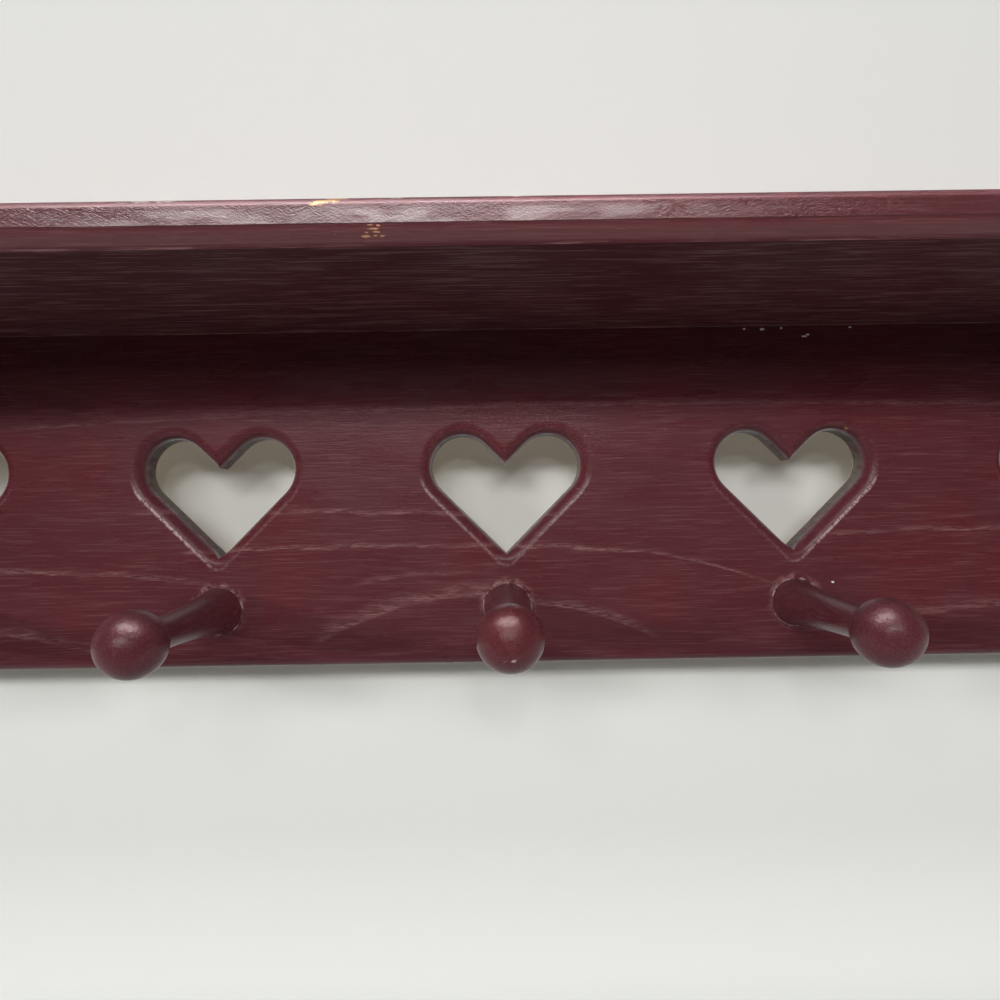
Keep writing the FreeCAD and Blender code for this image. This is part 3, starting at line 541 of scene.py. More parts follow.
def board_material():
    colours, sizes = bpy.context.scene.rail_colours, bpy.context.scene.rail_sizes
    surface, colour = painted("board_paint", fibres=0.7, strokes=0.35)
    wires = surface.wires
    strands = use(wires, "streaks", Vector=surface.grain, Length=0.0045, Width=0.00022,
                  Amount=0.50, Softness=0.05)
    total = wires.most(*[
        use(wires, "ring_line", Vector=surface.place, Peak_X=peak_x, Peak_Z=peak_z,
            Left_Bend=left, Right_Bend=right, Start_X=start, End_X=end, Width=width,
            Strength=strength, Streaks=strands)
        for peak_x, peak_z, left, right, start, end, width, strength in RING_LINES])
    colour = rub_and_sheen(wires, colour, total, 0.75)
    surface.height = wires.plus(surface.height, wires.times(total, 0.5))

    heart = use(wires, "heart", Vector=surface.place, Pitch=PEG_PITCH, Level=sizes.heart_level,
                Lobe_Offset=sizes.lobe_offset, Lobe_Radius=sizes.lobe_radius)
    ragged = wires.times(wires.noise(surface.place, 900.0, 3.0, 0.6), 0.0007)
    rim = wires.plus(heart["Distance"], ragged)
    # Pale line along the outer rim of each heart's lower half: partly worn paint, partly a painted
    # highlight, stronger on the side away from the heart's middle where the light glances
    line = wires.times(
        wires.ease(rim, 0.0039, 0.0045), wires.fade(rim, 0.0049, 0.0057),
        wires.fade(heart["Up"], -0.012, -0.003),
        wires.ease(wires.noise(surface.place, 1000.0, 4.0, 0.65), 0.36, 0.56))
    outward = wires.times(surface.axes["X"], heart["Across"])
    glint_side = wires.ease(outward, -0.0008, 0.0026, 0.10, 0.95)
    colour = wires.blend(wires.times(line, glint_side), colour, rgba(WORN_AND_GLINTING_EDGE))
    # Pale flecks in three patches over the middle heart's lobes: painted highlight, glints on the
    # raised grain
    fine = wires.noise(surface.grain, (700.0, 1500.0, 1500.0), 3.0, 0.65)
    glint_speckle = wires.ease(fine, 0.54, 0.66)
    for centre, size, roughened in specks(BOARD_LOW.y, 0.01, (
            (0.004, -0.012, 0.036, 0.011, 0.5), (0.034, -0.022, 0.014, 0.010, 0.5),
            (-0.026, -0.025, 0.012, 0.013, 0.5))):
        glint_patch = use(wires, "mark", Vector=surface.place, Centre=centre, Size=size, Ragged=roughened,
                   Softness=0.7)
        colour = rub_and_sheen(wires, colour, wires.times(glint_patch, glint_speckle), 0.34)
    colour = marked(surface, colour, colours.bare_wood, [
        ((0.1437, BOARD_LOW.y + 0.002, -0.0225), (0.0018, 0.004, 0.0035), 0.9)])
    colour = marked(surface, colour, DUST_SPECK, specks(BOARD_LOW.y, 0.001, (
        (0.1010, 0.0241, 0.0007, 0.0005, 0.5), (0.1085, 0.0238, 0.0011, 0.0006, 0.8),
        (0.1165, 0.0242, 0.0006, 0.0005, 0.5), (0.1262, 0.0206, 0.0013, 0.0005, 0.3),
        (0.1276, 0.0213, 0.0010, 0.0004, 0.3), (0.1455, 0.0241, 0.0008, 0.0004, 0.5),
        (0.1364, -0.0825, 0.0007, 0.0004, 0.5))))
    depth = wires.minus(surface.axes["Y"], BOARD_LOW.y)
    dirt = wires.noise(surface.place, (420.0, 160.0, 420.0), 4.0, 0.65)
    wall = wires.times(wires.fade(heart["Distance"], 0.0002, 0.0012),
                       wires.ease(wires.plus(depth, wires.times(dirt, 0.007)), 0.0072, 0.0102))
    colour = wires.blend(wall, colour, wires.blend(
        wires.ease(dirt, 0.42, 0.62), rgba(colours.raw_edge), rgba(colours.paint, 0.7)))
    level = wires.minus(surface.axes["Z"], PEG_LEVEL)
    base = wires.length(heart["Across"], level)
    halo = wires.times(
        wires.ease(base, 0.0132, 0.0098),
        wires.ease(wires.noise(surface.place, 330.0, 4.0, 0.65), 0.42, 0.66),
        wires.ease(level, -0.004, 0.006, 0.25, 0.75))
    colour = rub_and_sheen(wires, colour, halo)

    back = wires.ease(surface.axes["Y"], -0.0009, -0.0002)
    slops = wires.ease(wires.noise(surface.place, 45.0, 4.0, 0.6), 0.25, 0.33)
    figure = wires.ease(wires.noise(surface.place, (12.0, 90.0, 140.0), 4.0, 0.6, 0.6), 0.35, 0.7)
    wood = wires.blend(figure, rgba(colours.back_wood), rgba(colours.back_wood, 0.62))
    colour = wires.blend(wires.times(back, slops), colour, wood)
    surface.rough = wires.plus(surface.rough, wires.times(wires.most(wall, back), 0.3))
    return finish_paint(surface, colour)


def shelf_material():
    colours = bpy.context.scene.rail_colours
    surface, colour = painted("shelf_paint", fibres=0.45, strokes=0.35, pits=0.25)
    wires, axes = surface.wires, surface.axes
    front, top = SHELF_LOW.y, SHELF_HIGH.z
    drawn = wires.stretch(surface.grain, (1.0, 0.42, 1.0))
    strands = use(wires, "streaks", Vector=drawn, Length=0.022, Width=0.0004, Amount=0.33,
                  Softness=0.04)
    under = wires.fade(axes["Z"], SHELF_LOW.z + 0.0002, SHELF_LOW.z + 0.0008)
    # Pale grain lines, strongest on the underside: raised grain, made paler there as a painted
    # sheen
    strong = wires.plus(wires.times(under, 0.48),
                        wires.ease(axes["Z"], top - 0.0008, top, 0.03, 0.16))
    colour = rub_and_sheen(wires, colour, wires.times(strands, strong))
    surface.height = wires.times(surface.height, wires.minus(1.0, wires.times(under, 0.7)))
    gold = [((-0.0520, front + 0.001, 0.0356), (0.0026, 0.002, 0.0006), 0.7),
            ((-0.0492, front + 0.001, 0.0364), (0.0034, 0.003, 0.0007), 0.7),
            ((-0.0462, front + 0.001, 0.0373), (0.0034, 0.004, 0.0006), 0.4)]
    tan = [((x, front + 0.0304 - z, z), (long, 0.0014, 0.00024), 1.0) for x, z, long in (
        (-0.0371, 0.0298, 0.0010), (-0.0350, 0.0296, 0.0005), (-0.0366, 0.0290, 0.0014),
        (-0.0386, 0.0283, 0.0008), (-0.0356, 0.0284, 0.0011), (-0.0388, 0.0275, 0.0012),
        (-0.0362, 0.0276, 0.0007), (-0.0342, 0.0275, 0.0010))]
    pale = specks(front + 0.001, 0.002, (
        (-0.1010, 0.0372, 0.0040, 0.0005, 1.8), (-0.0940, 0.0372, 0.0040, 0.0005, 1.8),
        (-0.0302, 0.0375, 0.0020, 0.0004, 1.2), (0.0030, 0.0375, 0.0020, 0.0004, 1.2),
        (0.1900, 0.0374, 0.0050, 0.0005, 1.6), (-0.2200, 0.0374, 0.0040, 0.0005, 1.6)))
    colour = marked(surface, colour, colours.bare_wood, gold)
    colour = marked(surface, colour, TAN_WEAR, tan)
    colour = marked(surface, colour, PALE_WEAR, pale)
    scuffs = use(wires, "streaks", Vector=surface.grain, Length=0.05, Width=0.0011, Amount=0.45)
    upper = wires.ease(axes["Z"], top - 0.0006, top - 0.0001)
    colour = rub_and_sheen(wires, colour, wires.times(scuffs, upper), 0.3)

    fold = wires.fold(axes["X"], PEG_PITCH)
    side = wires.minus(wires.math("ABSOLUTE", axes["X"]), BRACKET_PLUG_X)
    nearest = wires.math("MINIMUM", *[
        wires.length(along, wires.minus(axes["Y"], depth))
        for along, depth in ((fold, BOARD_PLUG_Y), (side, BRACKET_PLUG_Y))])
    outline = wires.math("ABSOLUTE", wires.minus(nearest, PLUG_RADIUS))
    sunk = wires.times(wires.fade(outline, 0.0001, 0.0005), wires.ease(axes["Z"], top - 0.002, top))
    colour = wires.blend(wires.times(sunk, 0.55), colour, rgba(colours.paint, 0.4))

    face = wires.times(wires.fade(axes["Y"], front + 0.00005, front + 0.00022),
                       wires.ease(axes["Z"], BEVEL_START, BEVEL_END))
    strokes = []
    for slant, seed in ((0.50, 0.0), (-0.36, 7.0)):
        across = wires.plus(axes["Z"], wires.times(axes["X"], slant))
        at = wires.combine(wires.times(axes["X"], 420.0), wires.times(across, 1500.0), seed)
        strokes.append(wires.noise(at, 1.0, 3.0, 0.6))
    surface.height = wires.plus(surface.height, wires.times(wires.most(*strokes), face, 3.0))
    arris = wires.times(
        wires.ease(axes["Z"], 0.0281, 0.0292),
        wires.fade(axes["Y"], front + 0.0020, front + 0.0030),
        wires.fade(axes["Z"], BEVEL_END, BEVEL_END + SKIN))
    # The upper part of the shelf's top front round is painted darker: painted shade, broken up by
    # noise
    edge = wires.times(wires.ease(axes["Z"], top - 0.0022, top - 0.0010), wires.fade(
        axes["Y"], front + 0.0030, front + 0.0045))
    shade_breakup = wires.noise(surface.place, (90.0, 90.0, 90.0))
    colour = wires.blend(wires.times(edge, wires.ease(shade_breakup, 0.60, 0.66, 0.70, 0.10)), colour,
                         rgba(colours.paint, 0.35))
    # The lower part of the bevel is made pale and greyish: a painted reflection of the pale
    # surfaces below
    bevel = wires.times(
        wires.ease(axes["Z"], SHELF_LOW.z + 0.0006, SHELF_LOW.z + 0.0012),
        wires.fade(axes["Z"], BEVEL_START, BEVEL_END),
        wires.ease(axes["Z"], 0.0284, 0.0300, 1.0, 0.2))
    colour = rub_and_sheen(wires, colour, bevel, 0.15)
    material = finish_paint(surface, colour, 0.00016)
    roughened = wires.ease(axes["Z"], 0.0352, 0.0358, 0.0, 0.15)
    matt = wires.plus(roughened, wires.times(under, 0.30), wires.times(edge, 0.45))
    patches = wires.noise(surface.place, (70.0, 300.0, 300.0), 3.0)
    gloss = wires.times(face, wires.ease(patches, 0.38, 0.60, 0.18, 0.88),
                        wires.ease(axes["Z"], 0.0332, 0.0350, 1.0, 0.3))
    surface.set(Roughness=wires.plus(surface.rough, matt), Coat_Weight=gloss,
                Coat_Roughness=0.24, Coat_IOR=1.5)
    bump = surface.shader.inputs["Normal"].links[0].from_node
    normal = wires.node("ShaderNodeNewGeometry").outputs["Normal"]
    tilt = wires.stretch(wires.combine(arris, arris, arris), (0.0, -0.9, 0.15))
    wires.feed(bump.inputs["Normal"], wires.vector_math(
        "NORMALIZE", wires.vector_math("ADD", normal, tilt)))
    return material


class RAIL_OT_paint_boards(Operator):
    """Paint the back board, the shelf with its plugs, and the brackets"""

    bl_idname = "rail.paint_boards"
    bl_label = "Paint the boards"

    def execute(self, context):
        dress(board_material(), "back_board")
        dress(shelf_material(), "shelf_board", "shelf_plugs")
        surface, colour = painted("bracket_paint", "ZYX", fibres=0.6)
        dress(finish_paint(surface, colour), "bracket_left", "bracket_right")
        return {"FINISHED"}


# Pegs

def peg_material():
    colours = bpy.context.scene.rail_colours
    surface, colour = painted("peg_paint", "YXZ", fibres=0.35, strokes=0.2, pits=0.9, streaks=0.3,
                              gloss=0.31)
    nicks = [((0.0008, -0.0885, -0.0955), (0.0010, 0.002, 0.0007), 0.6),
             ((0.0030, -0.0560, -0.0850), (0.0005, 0.008, 0.0006), 0.4)]
    colour = marked(surface, colour, PEG_NICK, nicks)
    wires = surface.wires
    level = wires.minus(surface.axes["Z"], PEG_LEVEL)
    radius = wires.length(wires.fold(surface.axes["X"], PEG_PITCH), level)
    wavy = wires.plus(radius, wires.times(wires.noise(surface.place, 300.0), 0.0012))
    rings = wires.math("SINE", wires.times(wavy, 6500.0))
    end = wires.blend(wires.ease(rings, -0.6, 0.9), rgba(colours.back_wood),
                      rgba(colours.back_wood, 0.6))
    colour = wires.blend(wires.ease(surface.axes["Y"], -0.0030, -0.0012), colour, end)
    return finish_paint(surface, colour, 0.00014)


class RAIL_OT_paint_pegs(Operator):
    """Paint the turned pegs"""

    bl_idname = "rail.paint_pegs"
    bl_label = "Paint the pegs"

    def execute(self, context):
        dress(peg_material(), *PEGS)
        return {"FINISHED"}


# Hardware

def steel_material(name, grain, brushed):
    colours = bpy.context.scene.rail_colours
    surface = Surface(name, grain)
    wires = surface.wires
    spangle = wires.noise(surface.place, 240.0, 3.0, 0.55)
    dull = wires.ease(spangle, 0.35, 0.7)
    colour = wires.blend(dull, rgba(colours.steel), rgba(colours.steel, 0.72))
    rust = wires.ease(wires.noise(surface.place, 620.0, 4.0, 0.6), 0.66, 0.74)
    colour = wires.blend(wires.times(rust, 0.5), colour, rgba(RUST))
    lines = use(wires, "streaks", Vector=surface.grain, Length=0.006, Width=0.00012, Amount=0.5)
    surface.set(Base_Color=colour, Metallic=wires.ease(rust, 0.0, 1.0, 1.0, 0.4),
                Roughness=wires.ease(spangle, 0.3, 0.7, 0.30, 0.46))
    surface.bump(wires.times(lines, brushed), 0.00003)
    return surface.material


class RAIL_OT_finish_hangers(Operator):
    """Give the keyhole hangers and the hidden shelf screws their steel"""

    bl_idname = "rail.finish_hangers"
    bl_label = "Finish the hangers"

    def execute(self, context):
        plate = steel_material("plate_steel", "ZYX", 1.0)
        dress(plate, "keyhole_hanger_left", "keyhole_hanger_right")
        dress(steel_material("screw_steel", "XYZ", 0.5), "shelf_screws")
        return {"FINISHED"}


# Geometry node trees

def new_object(name, data):
    """An object at the origin, in the scene."""
    made = bpy.data.objects.new(name, data)
    bpy.context.scene.collection.objects.link(made)
    return made


def finished(mesh, name):
    """The plain mesh of an edited one."""
    data = bpy.data.meshes.new(name)
    mesh.to_mesh(data)
    mesh.free()
    return data


def new_tree(name, inputs):
    """An empty geometry tree with a material input; gives its wires, inputs and output socket."""
    tree = bpy.data.node_groups.new(name, "GeometryNodeTree")
    tree.interface.new_socket("Geometry", in_out="OUTPUT", socket_type="NodeSocketGeometry")
    tree.interface.new_socket("Geometry", in_out="INPUT", socket_type="NodeSocketGeometry")
    for label in (*inputs, "Material"):
        kind = "NodeSocketMaterial" if label == "Material" else "NodeSocketFloat"
        tree.interface.new_socket(label, in_out="INPUT", socket_type=kind)
    wires = Wires(tree)
    return wires, wires.node("NodeGroupInput").outputs, wires.node("NodeGroupOutput").inputs[0]


def end_tree(wires, geometry, material, result):
    smooth = wires.node("GeometryNodeSetShadeSmooth", {"Geometry": geometry})
    real = wires.node("GeometryNodeRealizeInstances", {"Geometry": smooth.outputs[0]})
    coated = wires.node("GeometryNodeSetMaterial", {
        "Geometry": real.outputs[0], "Material": material})
    wires.feed(result, coated.outputs[0])


def grow(name, tree, base, values):
    """Runs a geometry tree on a mesh and keeps the result as a plain mesh."""
    maker = new_object(name + "_maker", base)
    modifier = maker.modifiers.new("grow", "NODES")
    modifier.node_group = tree
    for item in tree.interface.items_tree:
        if item.in_out == "INPUT" and item.name in values:
            modifier[item.identifier] = values[item.name]
    graph = bpy.context.evaluated_depsgraph_get()
    mesh = bpy.data.meshes.new_from_object(maker.evaluated_get(graph), depsgraph=graph)
    mesh.name = name
    bpy.data.objects.remove(maker)
    return new_object(name, mesh)


def point_mesh(name, places):
    mesh = bpy.data.meshes.new(name)
    mesh.from_pydata(places, [], [])
    return mesh


def bead_tree():
    """A ragged bead along curves drawn through the base mesh's edges."""
    wires, given, result = new_tree("ragged_bead", [
        "Bead Radius", "Waver", "Waver Scale", "Uneven", "Seed"])
    curve = wires.node("GeometryNodeMeshToCurve", {"Mesh": given["Geometry"]})
    place = wires.node("GeometryNodeInputPosition").outputs[0]
    waver, swell = [wires.node("ShaderNodeTexNoise", {
        "Vector": place, "W": given["Seed"], "Scale": given["Waver Scale"], "Detail": detail},
        noise_dimensions="4D") for detail in (3.0, 4.0)]
    centred = wires.vector_math("SUBTRACT", waver.outputs["Color"], (0.5, 0.5, 0.5))
    offset = wires.node("ShaderNodeVectorMath", {0: centred, "Scale": given["Waver"]},
                        operation="SCALE")
    moved = wires.node("GeometryNodeSetPosition", {
        "Geometry": curve.outputs[0], "Offset": offset.outputs[0]})
    level = wires.node("ShaderNodeMapRange", {
        "Value": swell.outputs["Fac"], "From Min": 0.36, "From Max": 0.64,
        "To Min": wires.minus(1.0, given["Uneven"]), "To Max": 1.0})
    sized = wires.node("GeometryNodeSetCurveRadius", {
        "Curve": moved.outputs[0],
        "Radius": wires.times(level.outputs["Result"], given["Bead Radius"])})
    ring = wires.node("GeometryNodeCurvePrimitiveCircle", {"Resolution": 10, "Radius": 1.0})
    tube = wires.node("GeometryNodeCurveToMesh", {
        "Curve": sized.outputs[0], "Profile Curve": ring.outputs[0],
        "Scale": wires.node("GeometryNodeInputRadius").outputs[0], "Fill Caps": True})
    end_tree(wires, tube.outputs[0], given["Material"], result)
    return wires.tree


def screw_tree():
    """A countersunk screw with a cross recess at each point of a mesh, its head towards +Y."""
    wires, given, result = new_tree("recessed_screw", [
        "Length", "Shank Radius", "Head Radius", "Point Length", "Recess Width"])
    shank, head_radius = given["Shank Radius"], given["Head Radius"]
    head_height = wires.minus(head_radius, shank)

    def moved(geometry, z, turn=0.0):
        return wires.node("GeometryNodeTransform", {
            "Geometry": geometry, "Translation": wires.combine(0.0, 0.0, z),
            "Rotation": (0.0, 0.0, turn)}).outputs[0]

    head = wires.node("GeometryNodeMeshCone", {
        "Vertices": 40, "Radius Top": head_radius, "Radius Bottom": shank, "Depth": head_height})
    body_length = wires.minus(wires.minus(given["Length"], head_height), given["Point Length"])
    body = wires.node("GeometryNodeMeshCylinder", {
        "Vertices": 24, "Radius": shank, "Depth": body_length})
    point = wires.node("GeometryNodeMeshCone", {
        "Vertices": 24, "Radius Top": shank, "Radius Bottom": 0.0002,
        "Depth": given["Point Length"]})
    negative = wires.times(given["Length"], -1.0)
    slot_long = wires.times(head_radius, 1.15)
    slot_wide = wires.times(head_radius, given["Recess Width"])
    slot_deep = wires.times(head_height, 1.1)
    slots = []
    for turn in (0.35, 0.35 + math.pi / 2):
        bar = wires.node("GeometryNodeMeshCube", {
            "Size": wires.combine(slot_long, slot_wide, slot_deep)})
        slots.append(moved(bar.outputs[0], 0.0, turn))
    centre = wires.node("GeometryNodeMeshCone", {
        "Vertices": 12, "Radius Top": wires.times(head_radius, 0.30),
        "Radius Bottom": 0.0001, "Depth": wires.times(head_height, 0.95)})
    slots.append(moved(centre.outputs[0], wires.times(head_height, -0.9)))
    cut = wires.node("GeometryNodeMeshBoolean", operation="DIFFERENCE", solver="EXACT")
    wires.feed(cut.inputs["Mesh 1"], moved(head.outputs[0], wires.times(head_height, -1.0)))
    for slot in slots:
        wires.feed(cut.inputs["Mesh 2"], slot)
    half = wires.plus(head_height, wires.math("DIVIDE", body_length, 2.0))
    joined = wires.node("GeometryNodeJoinGeometry")
    for shape in (cut.outputs[0], moved(body.outputs[0], wires.times(half, -1.0)),
                  moved(point.outputs[0], negative)):
        wires.feed(joined.inputs[0], shape)
    upright = wires.node("GeometryNodeTransform", {
        "Geometry": joined.outputs[0], "Rotation": (-math.pi / 2, 0.0, 0.0)})
    placed = wires.node("GeometryNodeInstanceOnPoints", {
        "Points": given["Geometry"], "Instance": upright.outputs[0]})
    end_tree(wires, placed.outputs[0], given["Material"], result)
    return wires.tree


def ring_mesh(name, centres, radius, steps=96):
    """Closed rings of edges round the given centres, in planes that face the front."""
    mesh = bmesh.new()
    for centre in centres:
        corners = [mesh.verts.new(centre + Vector((
            radius * math.cos(math.tau * step / steps), 0.0,
            radius * math.sin(math.tau * step / steps)))) for step in range(steps)]
        for step in range(steps):
            mesh.edges.new((corners[step - 1], corners[step]))
    return finished(mesh, name)


def line_mesh(name, start, end, steps):
    mesh = bmesh.new()
    corners = [mesh.verts.new(start.lerp(end, step / steps)) for step in range(steps + 1)]
    for first, second in zip(corners, corners[1:]):
        mesh.edges.new((first, second))
    return finished(mesh, name)


def flat_smooth(piece):
    """Keeps sharp edges sharp on a smooth-shaded piece."""
    piece.data.set_sharp_from_angle(angle=math.radians(35))


class RAIL_OT_add_glue_rings(Operator):
    """Add the ragged glue round each peg and the paint that fills the seam under the shelf"""

    bl_idname = "rail.add_glue_rings"
    bl_label = "Add glue and seam paint"

    def execute(self, context):
        sizes, colours = context.scene.rail_sizes, context.scene.rail_colours
        tree = bead_tree()
        surface = Surface("dusty_glue")
        wires = surface.wires
        cover = wires.ease(wires.noise(surface.place, 320.0, 3.0, 0.6), 0.40, 0.62)
        colour = wires.blend(cover, rgba(colours.paint), rgba(colours.glue))
        surface.set(Base_Color=colour, Roughness=0.7)
        surface.bump(wires.noise(surface.place, 1400.0, 3.0), 0.0001)
        face = [Vector((middle(peg).x, BOARD_LOW.y + SKIN, PEG_LEVEL)) for peg in PEGS]
        glue = grow("glue_rings", tree, ring_mesh("glue_paths", face, sizes.glue_radius), {
            "Bead Radius": sizes.glue_thickness, "Waver": 0.0011, "Waver Scale": 260.0,
            "Uneven": 0.85, "Seed": 3.0, "Material": surface.material})
        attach(glue, "root")

        filler, colour = painted("highlit_seam_paint", fibres=0.3, strokes=0.2)
        # The seam's paint is made paler: a painted highlight along the seam under the shelf
        colour = filler.wires.blend(0.45, colour, rgba(colours.rubbed_and_sheen))
        material = finish_paint(filler, colour)
        left = Vector((BOARD_LOW.x + 0.004, BOARD_LOW.y, SHELF_LOW.z))
        right = Vector((BOARD_HIGH.x - 0.004, BOARD_LOW.y, SHELF_LOW.z))
        seam = grow("highlit_seam_paint", tree, line_mesh("seam_path", left, right, 900), {
            "Bead Radius": sizes.seam_bead, "Waver": 0.0002, "Waver Scale": 90.0,
            "Uneven": 0.8, "Seed": 8.0, "Material": material})
        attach(seam, "root")
        return {"FINISHED"}


def head_places(node):
    """The middles of the screw heads on the rail's back, read from a node's mesh."""
    high = max(vertex.co.y for vertex in NODES[node].data.vertices)
    places = []
    for vertex in NODES[node].data.vertices:
        if vertex.co.y < high - SKIN:
            continue
        for near in places:
            if (near[0].co - vertex.co).length < SCREW_REACH:
                near.append(vertex)
                break
        else:
            places.append([vertex])
    middles = []
    for near in places:
        low = Vector([min(vertex.co[axis] for vertex in near) for axis in range(3)])
        top = Vector([max(vertex.co[axis] for vertex in near) for axis in range(3)])
        middles.append((low + top) / 2)
    return middles


class RAIL_OT_add_screws(Operator):
    """Replace the plain screws on the back with screws that have a cross recess"""

    bl_idname = "rail.add_screws"
    bl_label = "Add the back's screws"

    def execute(self, context):
        sizes = context.scene.rail_sizes
        tree = screw_tree()
        material = steel_material("recessed_screw_steel", "XYZ", 0.4)
        for node, length, shank, head, point in BACK_SCREWS:
            places = point_mesh(node + "_places", head_places(node))
            piece = grow(node + "_recessed", tree, places, {
                "Length": length, "Shank Radius": shank, "Head Radius": head,
                "Point Length": point, "Recess Width": sizes.recess_width, "Material": material})
            flat_smooth(piece)
            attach(piece, "root")
            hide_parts(node)
        return {"FINISHED"}


# Studio

def backdrop_material(colour, bounce):
    """Pale and lit from the front, glowing in reflections, white far off, see-through from behind,
    no bar to the lamps.
    """
    material = bpy.data.materials.new("studio_backdrop")
    material.use_nodes = True
    wires = Wires(material.node_tree)
    nodes = material.node_tree.nodes
    nodes.remove(nodes["Principled BSDF"])
    path = wires.node("ShaderNodeLightPath").outputs
    behind = wires.node("ShaderNodeNewGeometry").outputs["Backfacing"]
    dim = wires.blend(path["Is Diffuse Ray"], rgba(colour), rgba(colour, bounce))
    lit = wires.node("ShaderNodeBsdfDiffuse", {"Color": dim})
    place = wires.node("ShaderNodeNewGeometry").outputs["Position"]
    near = wires.split(place)[1]
    # Seen in reflections the backdrop glows instead of being lit: a painted reflection, bright near
    # the rail and dim on the floor in front of it
    glow = wires.node("ShaderNodeEmission", {
        "Color": rgba(colour), "Strength": wires.ease(near, -0.42, -0.30, 0.10, 0.85)})
    clear = wires.node("ShaderNodeBsdfTransparent")
    white = wires.node("ShaderNodeEmission", {"Color": (1.0, 1.0, 1.0, 1.0)})
    far = wires.times(path["Is Camera Ray"],
                      wires.ease(wires.vector_math("LENGTH", place), 0.8, 2.0))
    faded = wires.node("ShaderNodeMixShader", {0: far, 1: lit.outputs[0], 2: white.outputs[0]})
    seen = wires.node("ShaderNodeMixShader", {
        0: path["Is Glossy Ray"], 1: faded.outputs[0], 2: glow.outputs[0]})
    through = wires.most(path["Is Shadow Ray"], behind)
    mixed = wires.node("ShaderNodeMixShader", {0: through, 1: seen.outputs[0], 2: clear.outputs[0]})
    wires.feed(nodes["Material Output"].inputs["Surface"], mixed.outputs[0])
    return material


def backdrop_mesh(back, floor, half_width, height, reach, bend=0.16, steps=14):
    """A wall that turns into a floor through a cove; the floor goes on behind the wall."""
    section = [(back, height), (back, floor + bend)]
    for step in range(1, steps + 1):
        angle = math.pi / 2 * step / steps
        section.append((back - bend * (1 - math.cos(angle)), floor + bend * (1 - math.sin(angle))))
    section.append((-reach, floor))
    mesh = bmesh.new()
    rows = [[mesh.verts.new((x, y, z)) for y, z in section] for x in (-half_width, half_width)]
    for index in range(len(section) - 1):
        mesh.faces.new((rows[0][index], rows[0][index + 1], rows[1][index + 1], rows[1][index]))
    under = floor - 0.0005
    mesh.faces.new([mesh.verts.new((x, y, under)) for x, y in (
        (-half_width, back - bend), (half_width, back - bend),
        (half_width, reach), (-half_width, reach))])
    data = finished(mesh, "studio_backdrop")
    for polygon in data.polygons:
        polygon.use_smooth = True
    return data


def area_light(name, place, target, width, height, power, colour=(1, 1, 1)):
    data = bpy.data.lights.new(name, "AREA")
    data.shape, data.size, data.size_y = "RECTANGLE", width, height
    data.energy, data.color = power, colour
    lamp = new_object(name, data)
    lamp.location = place
    lamp.rotation_euler = (Vector(target) - Vector(place)).to_track_quat("-Z", "Y").to_euler()
    return lamp


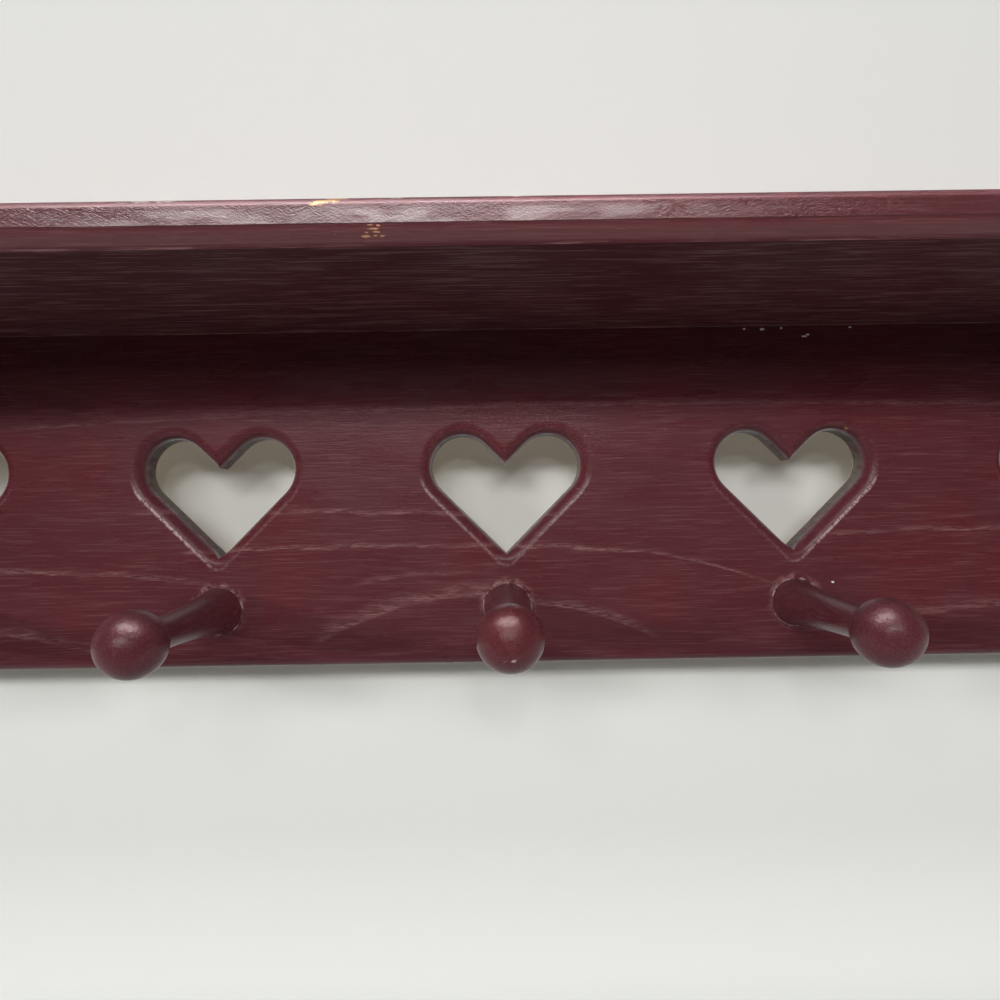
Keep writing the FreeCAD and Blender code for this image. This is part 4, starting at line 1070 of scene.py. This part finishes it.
class RAIL_OT_build_studio(Operator):
    """Set up the camera, the pale backdrop and the soft lights"""

    bl_idname = "rail.build_studio"
    bl_label = "Build the studio"

    def execute(self, context):
        scene, studio = context.scene, context.scene.rail_studio
        sheet = new_object("studio_backdrop", backdrop_mesh(
            back=BOARD_HIGH.y + studio.wall_gap, floor=studio.floor_level,
            half_width=5.0, height=5.0, reach=4.0))
        sheet.data.materials.append(backdrop_material(studio.backdrop, studio.bounce))

        area_light("key_light", (-1.0, -6.3, 2.46), (-1.0, 0.0, -0.02), 5.1, 0.7,
                   studio.key_power, (1.0, 0.99, 0.97))
        for name, place, width, height, power in (
                ("left_light", (-4.33, -2.5, 0.92), 1.7, 0.35, studio.left_power),
                ("right_light", (4.42, -2.35, 0.88), 1.5, 0.35, studio.right_power),
                ("near_lamp_a", (0.015, -0.449, 0.089), 0.03, 0.03, studio.near_power),
                ("near_lamp_b", (-0.105, -0.408, 0.115), 0.03, 0.03, studio.near_power * 0.6)):
            lamp = area_light(name, place, (0.0, 0.0, -0.05), width, height, power)
            lamp.visible_glossy = False
        glint = area_light("knob_light", (-0.09, -0.23, 0.33), (-0.06, -0.09, -0.09), 0.46, 0.22,
                           studio.knob_power)
        glint.visible_diffuse = False
        area_light("top_light", (0.0, -0.03, 1.6), (0.0, -0.03, 0.0), 1.0, 0.06, studio.top_power)
        rear = area_light("rear_light", (-0.5, 1.3, 0.65), (0.0, 0.0, -0.03), 1.2, 0.6,
                          studio.rear_power)
        pieces = bpy.data.collections.new("lit_from_behind")
        for piece in scene.objects:
            if piece.type == "MESH" and piece is not sheet:
                pieces.objects.link(piece)
        rear.light_linking.receiver_collection = pieces

        world = bpy.data.worlds.new("studio_room")
        world.use_nodes = True
        wires = Wires(world.node_tree)
        surface = world.node_tree.nodes["Background"]
        path = wires.node("ShaderNodeLightPath").outputs
        seen = wires.most(path["Is Camera Ray"], path["Is Transmission Ray"])
        level = wires.plus(wires.times(seen, 1.0 - studio.ambient), studio.ambient)
        wires.feed(surface.inputs["Color"], (1.0, 1.0, 1.0, 1.0))
        wires.feed(surface.inputs["Strength"], level)
        scene.world = world

        data = bpy.data.cameras.new("photo_camera")
        data.sensor_width, data.lens = 36.0, studio.lens
        data.clip_start, data.clip_end = 0.01, 50.0
        camera = new_object("photo_camera", data)
        camera.location, camera.rotation_euler = studio.camera_place, studio.camera_turn
        scene.camera = camera
        scene.view_settings.view_transform = "Standard"
        return {"FINISHED"}


STEPS = (RAIL_OT_paint_boards, RAIL_OT_paint_pegs, RAIL_OT_finish_hangers,
         RAIL_OT_add_glue_rings, RAIL_OT_add_screws, RAIL_OT_build_studio)


class RAIL_PT_panel(Panel):
    """The peg rail's steps, sizes and colours"""

    bl_idname = "RAIL_PT_panel"
    bl_label = "Peg rail"
    bl_space_type = "VIEW_3D"
    bl_region_type = "UI"
    bl_category = "Peg Rail"

    def draw(self, context):
        for step in STEPS:
            self.layout.operator(step.bl_idname)
        scene = context.scene
        for settings in (scene.rail_colours, scene.rail_sizes, scene.rail_studio):
            box = self.layout.box()
            for name in settings.bl_rna.properties.keys():
                if name not in ("rna_type", "name"):
                    box.prop(settings, name)


CLASSES = (RailColours, RailSizes, StudioSettings, *STEPS, RAIL_PT_panel)


def register():
    for item in CLASSES:
        bpy.utils.register_class(item)
    bpy.types.Scene.rail_colours = PointerProperty(type=RailColours)
    bpy.types.Scene.rail_sizes = PointerProperty(type=RailSizes)
    bpy.types.Scene.rail_studio = PointerProperty(type=StudioSettings)


def unregister():
    del bpy.types.Scene.rail_studio
    del bpy.types.Scene.rail_sizes
    del bpy.types.Scene.rail_colours
    for item in reversed(CLASSES):
        bpy.utils.unregister_class(item)


def main():
    register()
    bpy.ops.rail.paint_boards()
    bpy.ops.rail.paint_pegs()
    bpy.ops.rail.finish_hangers()
    bpy.ops.rail.add_glue_rings()
    bpy.ops.rail.add_screws()
    bpy.ops.rail.build_studio()


if __name__ == "__main__":
    main()
